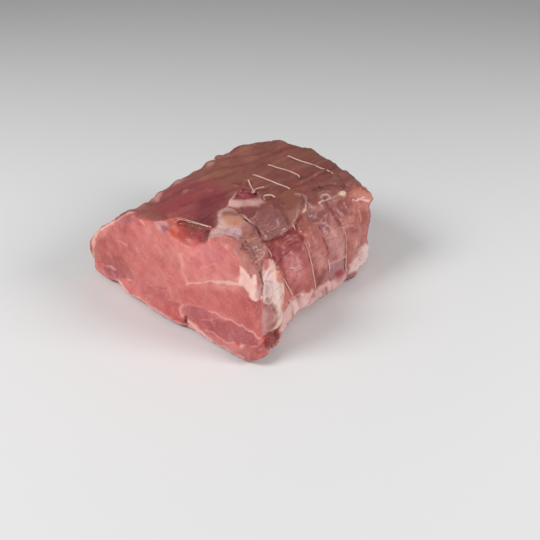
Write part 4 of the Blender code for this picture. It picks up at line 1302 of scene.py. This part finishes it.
def mixed(share, first, second):
    """The second colour over the first, as strongly as the share says."""
    node = nodes.new("ShaderNodeMix")
    node.data_type = "RGBA"
    for name, kind, value in (("Factor", "VALUE", share), ("A", "RGBA", first), ("B", "RGBA", second)):
        socket = next(s for s in node.inputs if s.name == name and s.type == kind)
        if isinstance(value, tuple):
            socket.default_value = value
        else:
            links.new(value, socket)
    return next(s for s in node.outputs if s.type == "RGBA")


# Fine colour in the grain of the meat: on the cut, pale clouds and specks; elsewhere dark threads; dark
# clouds and threads are hidden under fat
CLOUD_SHARE = 0.2
SHADE_SHARE = 0.25
SPECK_SHARE = 0.35
THREAD_SHARE = 0.35
PALE_CLOUD = (0.80, 0.42, 0.36, 1)
DARK_CLOUD = (0.25, 0.06, 0.06, 1)
FAT_SPECK = (0.85, 0.48, 0.42, 1)
DARK_THREAD = (0.19, 0.05, 0.045, 1)
THREAD_STRETCH = (1, 0.12, 1)
grain_noise, grain_mask = place_patches(900, 5, 0.55, 0.75)
thread_noise, thread_mask = place_patches(700, 4, 0.52, 0.72, THREAD_STRETCH)
bare = reckon("SUBTRACT", 1.0, attribute("fat"))
on_cut = attribute("cut")
off_cut = reckon("SUBTRACT", 1.0, on_cut)
colour = attribute("tone", "Color")
pale = reckon("MULTIPLY", place_patches(160, 5, 0.5, 0.75)[1], reckon("MULTIPLY", on_cut, CLOUD_SHARE))
colour = mixed(pale, colour, PALE_CLOUD)
dark = reckon("MULTIPLY", place_patches(160, 5, 0.5, 0.28)[1], SHADE_SHARE)
colour = mixed(reckon("MULTIPLY", dark, bare), colour, DARK_CLOUD)
specks = reckon("MULTIPLY", grain_mask, reckon("MULTIPLY", on_cut, SPECK_SHARE))
colour = mixed(specks, colour, FAT_SPECK)
threads = reckon("MULTIPLY", thread_mask, reckon("MULTIPLY", off_cut, THREAD_SHARE))
colour = mixed(reckon("MULTIPLY", threads, bare), colour, DARK_THREAD)
links.new(colour, shader.inputs["Base Color"])

# Wet meat shines through a thin film, unevenly.
DRY_ROUGHNESS, WET_ROUGHNESS = 0.56, 0.30
DRY_COAT, WET_COAT = 0.05, 0.65
GRAIN_SHARE = 0.5
damp = reckon("MULTIPLY", attribute("wet"), place_patches(120, 3, 0.35, 0.65)[1])
links.new(spread(damp, 0.0, 1.0, DRY_ROUGHNESS, WET_ROUGHNESS), shader.inputs["Roughness"])
links.new(spread(damp, 0.1, 0.9, DRY_COAT, WET_COAT), shader.inputs["Coat Weight"])
grain_relief = reckon("MULTIPLY", grain_noise, GRAIN_SHARE)
relief = reckon("ADD", grain_relief, reckon("MULTIPLY", thread_noise, off_cut))
bump = nodes.new("ShaderNodeBump")
bump.inputs["Strength"].default_value = 0.5
bump.inputs["Distance"].default_value = 0.25 * MM
links.new(relief, bump.inputs["Height"])
links.new(bump.outputs["Normal"], shader.inputs["Normal"])
meat_mesh.materials.clear()
meat_mesh.materials.append(meat_finish)

# Twine
# Six loops of cotton string, three plies twisted together, pulled tight round the rolled meat by hand. Soft
# meat has closed over parts of each loop. The third ends in a small knot with three short tails.
HEART = Vector((-4.0, 0.0, 32.0)) * MM  # the loops run round this place
START = Vector((60.0, 0.0, 30.0)) * MM
REACH = 0.2  # in metres, from the heart to well outside the meat
LOOP_POINTS = 720
EVENING_ROUNDS = 20
TIGHTENING = 8000
SHOWING_ROUNDS = 8
IN_SIGHT_LIMIT = -0.4  # how far the loop may turn from the eye and still count as seen
WANDER = 2.2  # how quickly a string comes and goes on the hidden sides
LOOP_SEED = 9.1
PLY_RADIUS = 0.25
PLY_PITCH = 4.0
PLIES = 3
PROUD, SUNK = 0.3, -2.8  # how high the string's middle lies where it shows and where it is hidden
SIDE_DROP = 0.3  # and how much lower where it shows on the right side
TAUTNESS = [1.0, 1.0, 0.5, 0.5, 0.5, 0.5]  # how far each loop is pulled straight across hollows
LOOSE_PART = (204, 184)  # left of here in the view the first loop has come loose
LOWEST = 0.8
KINK_STEP = 0.8
KINK_REACH = 0.5
UNTWISTED = 0.93
SPREAD = 1.3  # how much further apart loose plies lie
THINNER = 0.3  # and how much thinner they are
KNOTTED = 2  # the third loop has the knot
SHIFT = Vector((-2.58, 2.07, 0.0))  # brings the knot and its tails to where they are seen
KNOT = (16.3, -9.0, 64.3)
KNOT_RADIUS = 0.9
KNOT_POINTS = 24
KNOT_TILTS = (0.3, 1.9)
TAIL_SIDE = [0.0, 1.0, 0.3]
TAILS = [
    [(16, -8.7, 64.9), (12.6, -7.4, 66.6), (8, -4.6, 68)],
    [(16, -8.7, 64.9), (18.6, -7.2, 66.6), (21.6, -4.8, 67.6)],
    [(27, -10.2, 60.9), (26.9, -10.7, 63.9), (28, -11.4, 66.2), (31, -9.4, 66.8), (34, -9, 66.2)],
]

skin = BVHTree.FromPolygons([v.co for v in meat_mesh.vertices], [f.vertices[:] for f in meat_mesh.polygons])


def loop_route(number):
    """Points round the meat in the plane of one loop, on its surface where the string shows and under it
    where the meat has closed over it."""
    places, outward = [], []
    hit = START
    for step in range(LOOP_POINTS):
        angle = 2 * math.pi * step / LOOP_POINTS
        out = Vector((math.cos(angle), 0.0, math.sin(angle)))
        at_y = float(loop_place(number, hit.x / MM, hit.z / MM)) * MM
        if number in KINKS:
            at = KINKS[number]
            kink = ease(at - KINK_REACH, at + KINK_REACH, hit.x / MM) * ease(52, 60, hit.z / MM)
            at_y -= KINK_STEP * MM * float(kink)
        hit = skin.ray_cast(HEART + Vector((0, at_y, 0)) + out * REACH, -out)[0]
        places.append(hit)
        outward.append(out)
    places, outward = np.array(places), np.array(outward)
    for _ in range(EVENING_ROUNDS):
        places = (places + np.roll(places, 1, 0) + np.roll(places, -1, 0)) / 3

    # The same route pulled straight across hollows, as tight string runs
    taut = places.copy()
    for _ in range(TIGHTENING):
        middle = (np.roll(taut, 1, 0) + np.roll(taut, -1, 0)) / 2
        taut = np.where((((middle - taut) * outward).sum(1) > 0)[:, None], middle, taut)

    # It shows along the stretches seen in the view, and comes and goes on the hidden sides.
    away = np.array(EYE) - places
    in_sight = (away * outward).sum(1) > IN_SIGHT_LIMIT * np.linalg.norm(away, axis=1)
    near = np.min([gap_to_line(in_view(taut), stretch) for stretch in SHOWN[number]], 0)
    turns = np.linspace(0, 2 * math.pi, LOOP_POINTS, endpoint=False)
    places_round = [(number * LOOP_SEED, WANDER * math.cos(a), WANDER * math.sin(a)) for a in turns]
    wander = np.array([noise.noise(p) for p in places_round])
    shows = np.where(in_sight, ease(5, 2.5, near), ease(-0.15, 0.2, wander))
    for _ in range(SHOWING_ROUNDS):
        shows = (shows + np.roll(shows, 1) + np.roll(shows, -1)) / 3
    drawn = TAUTNESS[number] * (ease(24, 16, near) if number == 0 else shows)
    loose = ease(*LOOSE_PART, in_view(taut)[:, 0]) * shows * in_sight * (number == 0)
    places += drawn[:, None] * (taut - places)
    proud = PROUD - SIDE_DROP * ease(30, 45, places[:, 0] / MM)
    places += outward * ((SUNK + (proud - SUNK) * shows) * MM)[:, None]
    places[:, 2] = np.maximum(places[:, 2], LOWEST * MM)
    return places, outward, loose


def smooth_route(points, spacing=0.5):
    """A smooth open route through a few places in millimetres, at even steps."""
    first, second, *_ = map(Vector, points)
    *_, before, last = map(Vector, points)
    stops = [2 * first - second, *map(Vector, points), 2 * last - before]
    route = []
    for a, b, c, d in zip(stops, stops[1:], stops[2:], stops[3:]):
        count = max(2, round((c - b).length / spacing))
        for step in range(count):
            t = step / count
            bend_in, bend_out = 2 * a - 5 * b + 4 * c - d, 3 * b - 3 * c + d - a
            route.append(0.5 * (2 * b + (c - a) * t + bend_in * t**2 + bend_out * t**3))
    route.append(last)
    return (np.array(route) + np.array(SHIFT)) * MM


def lay_plies(curve, route, outward, closed, loose=None):
    """Plies twisted round a route. Where the string has come loose they lie side by side, a little apart."""
    loose = np.zeros(len(route)) if loose is None else loose
    step = np.roll(route, -1, 0) - np.roll(route, 1, 0)
    if not closed:
        step[0], step[-1] = route[1] - route[0], route[-1] - route[-2]
    step /= np.linalg.norm(step, axis=1)[:, None]
    across = np.cross(step, outward)
    across /= np.linalg.norm(across, axis=1)[:, None]
    up = np.cross(across, step)
    lengths = np.linalg.norm(np.roll(route, -1, 0) - route, axis=1) / MM
    turns = np.cumsum(lengths * (1 - UNTWISTED * loose)) / PLY_PITCH
    if closed:
        turns *= round(turns[-1]) / turns[-1]
    for ply in range(PLIES):
        angle = 2 * math.pi * (turns + ply / PLIES)
        twist = (1 + SPREAD * loose) * PLY_RADIUS * MM * np.stack([np.cos(angle), np.sin(angle)])
        line = route + twist[0][:, None] * across + twist[1][:, None] * up
        spline = curve.splines.new("POLY")
        spline.points.add(len(line) - 1)
        spline.points.foreach_set("co", np.concatenate([line, np.ones((len(line), 1))], 1).ravel())
        spline.points.foreach_set("radius", 1 - THINNER * loose)
        spline.use_cyclic_u = closed


COTTON = (0.84, 0.60, 0.53, 1)
STAINED_COTTON = (0.70, 0.42, 0.36, 1)
THREAD_SHADE = (0.42, 0.23, 0.18, 1)
THREAD_DARKNESS = 0.35
twine_finish = bpy.data.materials.new("twine")
twine_finish.use_nodes = True
nodes = twine_finish.node_tree.nodes
links = twine_finish.node_tree.links
shader = nodes["Principled BSDF"]
shader.inputs["Roughness"].default_value = 0.75
stain = place_patches(90, 3, 0.4, 0.65)[1]
thread = place_patches(1500, 4, 0.35, 0.7)[1]
colour = mixed(stain, COTTON, STAINED_COTTON)
colour = mixed(reckon("MULTIPLY", thread, THREAD_DARKNESS), colour, THREAD_SHADE)
links.new(colour, shader.inputs["Base Color"])
bump = nodes.new("ShaderNodeBump")
bump.inputs["Strength"].default_value = 0.6
bump.inputs["Distance"].default_value = 0.1 * MM
links.new(thread, bump.inputs["Height"])
links.new(bump.outputs["Normal"], shader.inputs["Normal"])

for number in range(len(TIE_LINES)):
    curve = bpy.data.curves.new(f"string_{number + 1}", "CURVE")
    curve.dimensions = "3D"
    curve.bevel_depth = PLY_RADIUS * MM
    curve.bevel_resolution = 1
    route, outward, loose = loop_route(number)
    lay_plies(curve, route, outward, True, loose)
    if number == KNOTTED:
        for tail in TAILS:
            tail_route = smooth_route(tail)
            lay_plies(curve, tail_route, np.tile(TAIL_SIDE, (len(tail_route), 1)), False)
        for tilt in KNOT_TILTS:
            turn = np.linspace(0, 2 * math.pi, KNOT_POINTS, endpoint=False)
            ring = np.stack([np.cos(turn), np.sin(turn) * math.cos(tilt), np.sin(turn) * math.sin(tilt)], 1)
            lay_plies(curve, (np.array(KNOT) + np.array(SHIFT) + KNOT_RADIUS * ring) * MM, ring, True)
    string = bpy.data.objects.new(f"string_{number + 1}", curve)
    bpy.context.collection.objects.link(string)
    curve.materials.append(twine_finish)
    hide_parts(f"twine_tie_{number + 1}")
    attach(string, "root")

# Floor and light
# A plain pale table, one broad soft light above the near left corner, a weaker one on the right and a little
# even light from the room.
FLOOR_REACH = 3.0
FLOOR_COLOUR = (0.8, 0.8, 0.8, 1)
FLOOR_ROUGHNESS = 0.7
AIM = Vector((0, 0, 0.03))
LIGHTS = [
    ("key_light", (-0.35, -0.75, 0.75), 0.5, 7.6),
    ("fill_light", (0.85, 0.3, 0.55), 0.45, 5.8),
]
ROOM_COLOUR = (1, 1, 1, 1)
ROOM_STRENGTH = 0.26

bm = bmesh.new()
bmesh.ops.create_grid(bm, x_segments=1, y_segments=1, size=FLOOR_REACH)
floor_mesh = bpy.data.meshes.new("floor")
bm.to_mesh(floor_mesh)
bm.free()
floor = bpy.data.objects.new("floor", floor_mesh)
bpy.context.collection.objects.link(floor)
floor_finish = bpy.data.materials.new("pale_table")
floor_finish.use_nodes = True
floor_finish.node_tree.nodes["Principled BSDF"].inputs["Base Color"].default_value = FLOOR_COLOUR
floor_finish.node_tree.nodes["Principled BSDF"].inputs["Roughness"].default_value = FLOOR_ROUGHNESS
floor_mesh.materials.append(floor_finish)

for name, place, size, power in LIGHTS:
    light = bpy.data.lights.new(name, "AREA")
    light.shape = "DISK"
    light.size = size
    light.energy = power
    lamp = bpy.data.objects.new(name, light)
    lamp.location = place
    lamp.rotation_euler = (AIM - Vector(place)).to_track_quat("-Z", "Y").to_euler()
    bpy.context.collection.objects.link(lamp)
world = bpy.data.worlds.new("room")
bpy.context.scene.world = world
world.use_nodes = True
world.node_tree.nodes["Background"].inputs["Color"].default_value = ROOM_COLOUR
world.node_tree.nodes["Background"].inputs["Strength"].default_value = ROOM_STRENGTH
bpy.context.scene.view_settings.view_transform = "Standard"
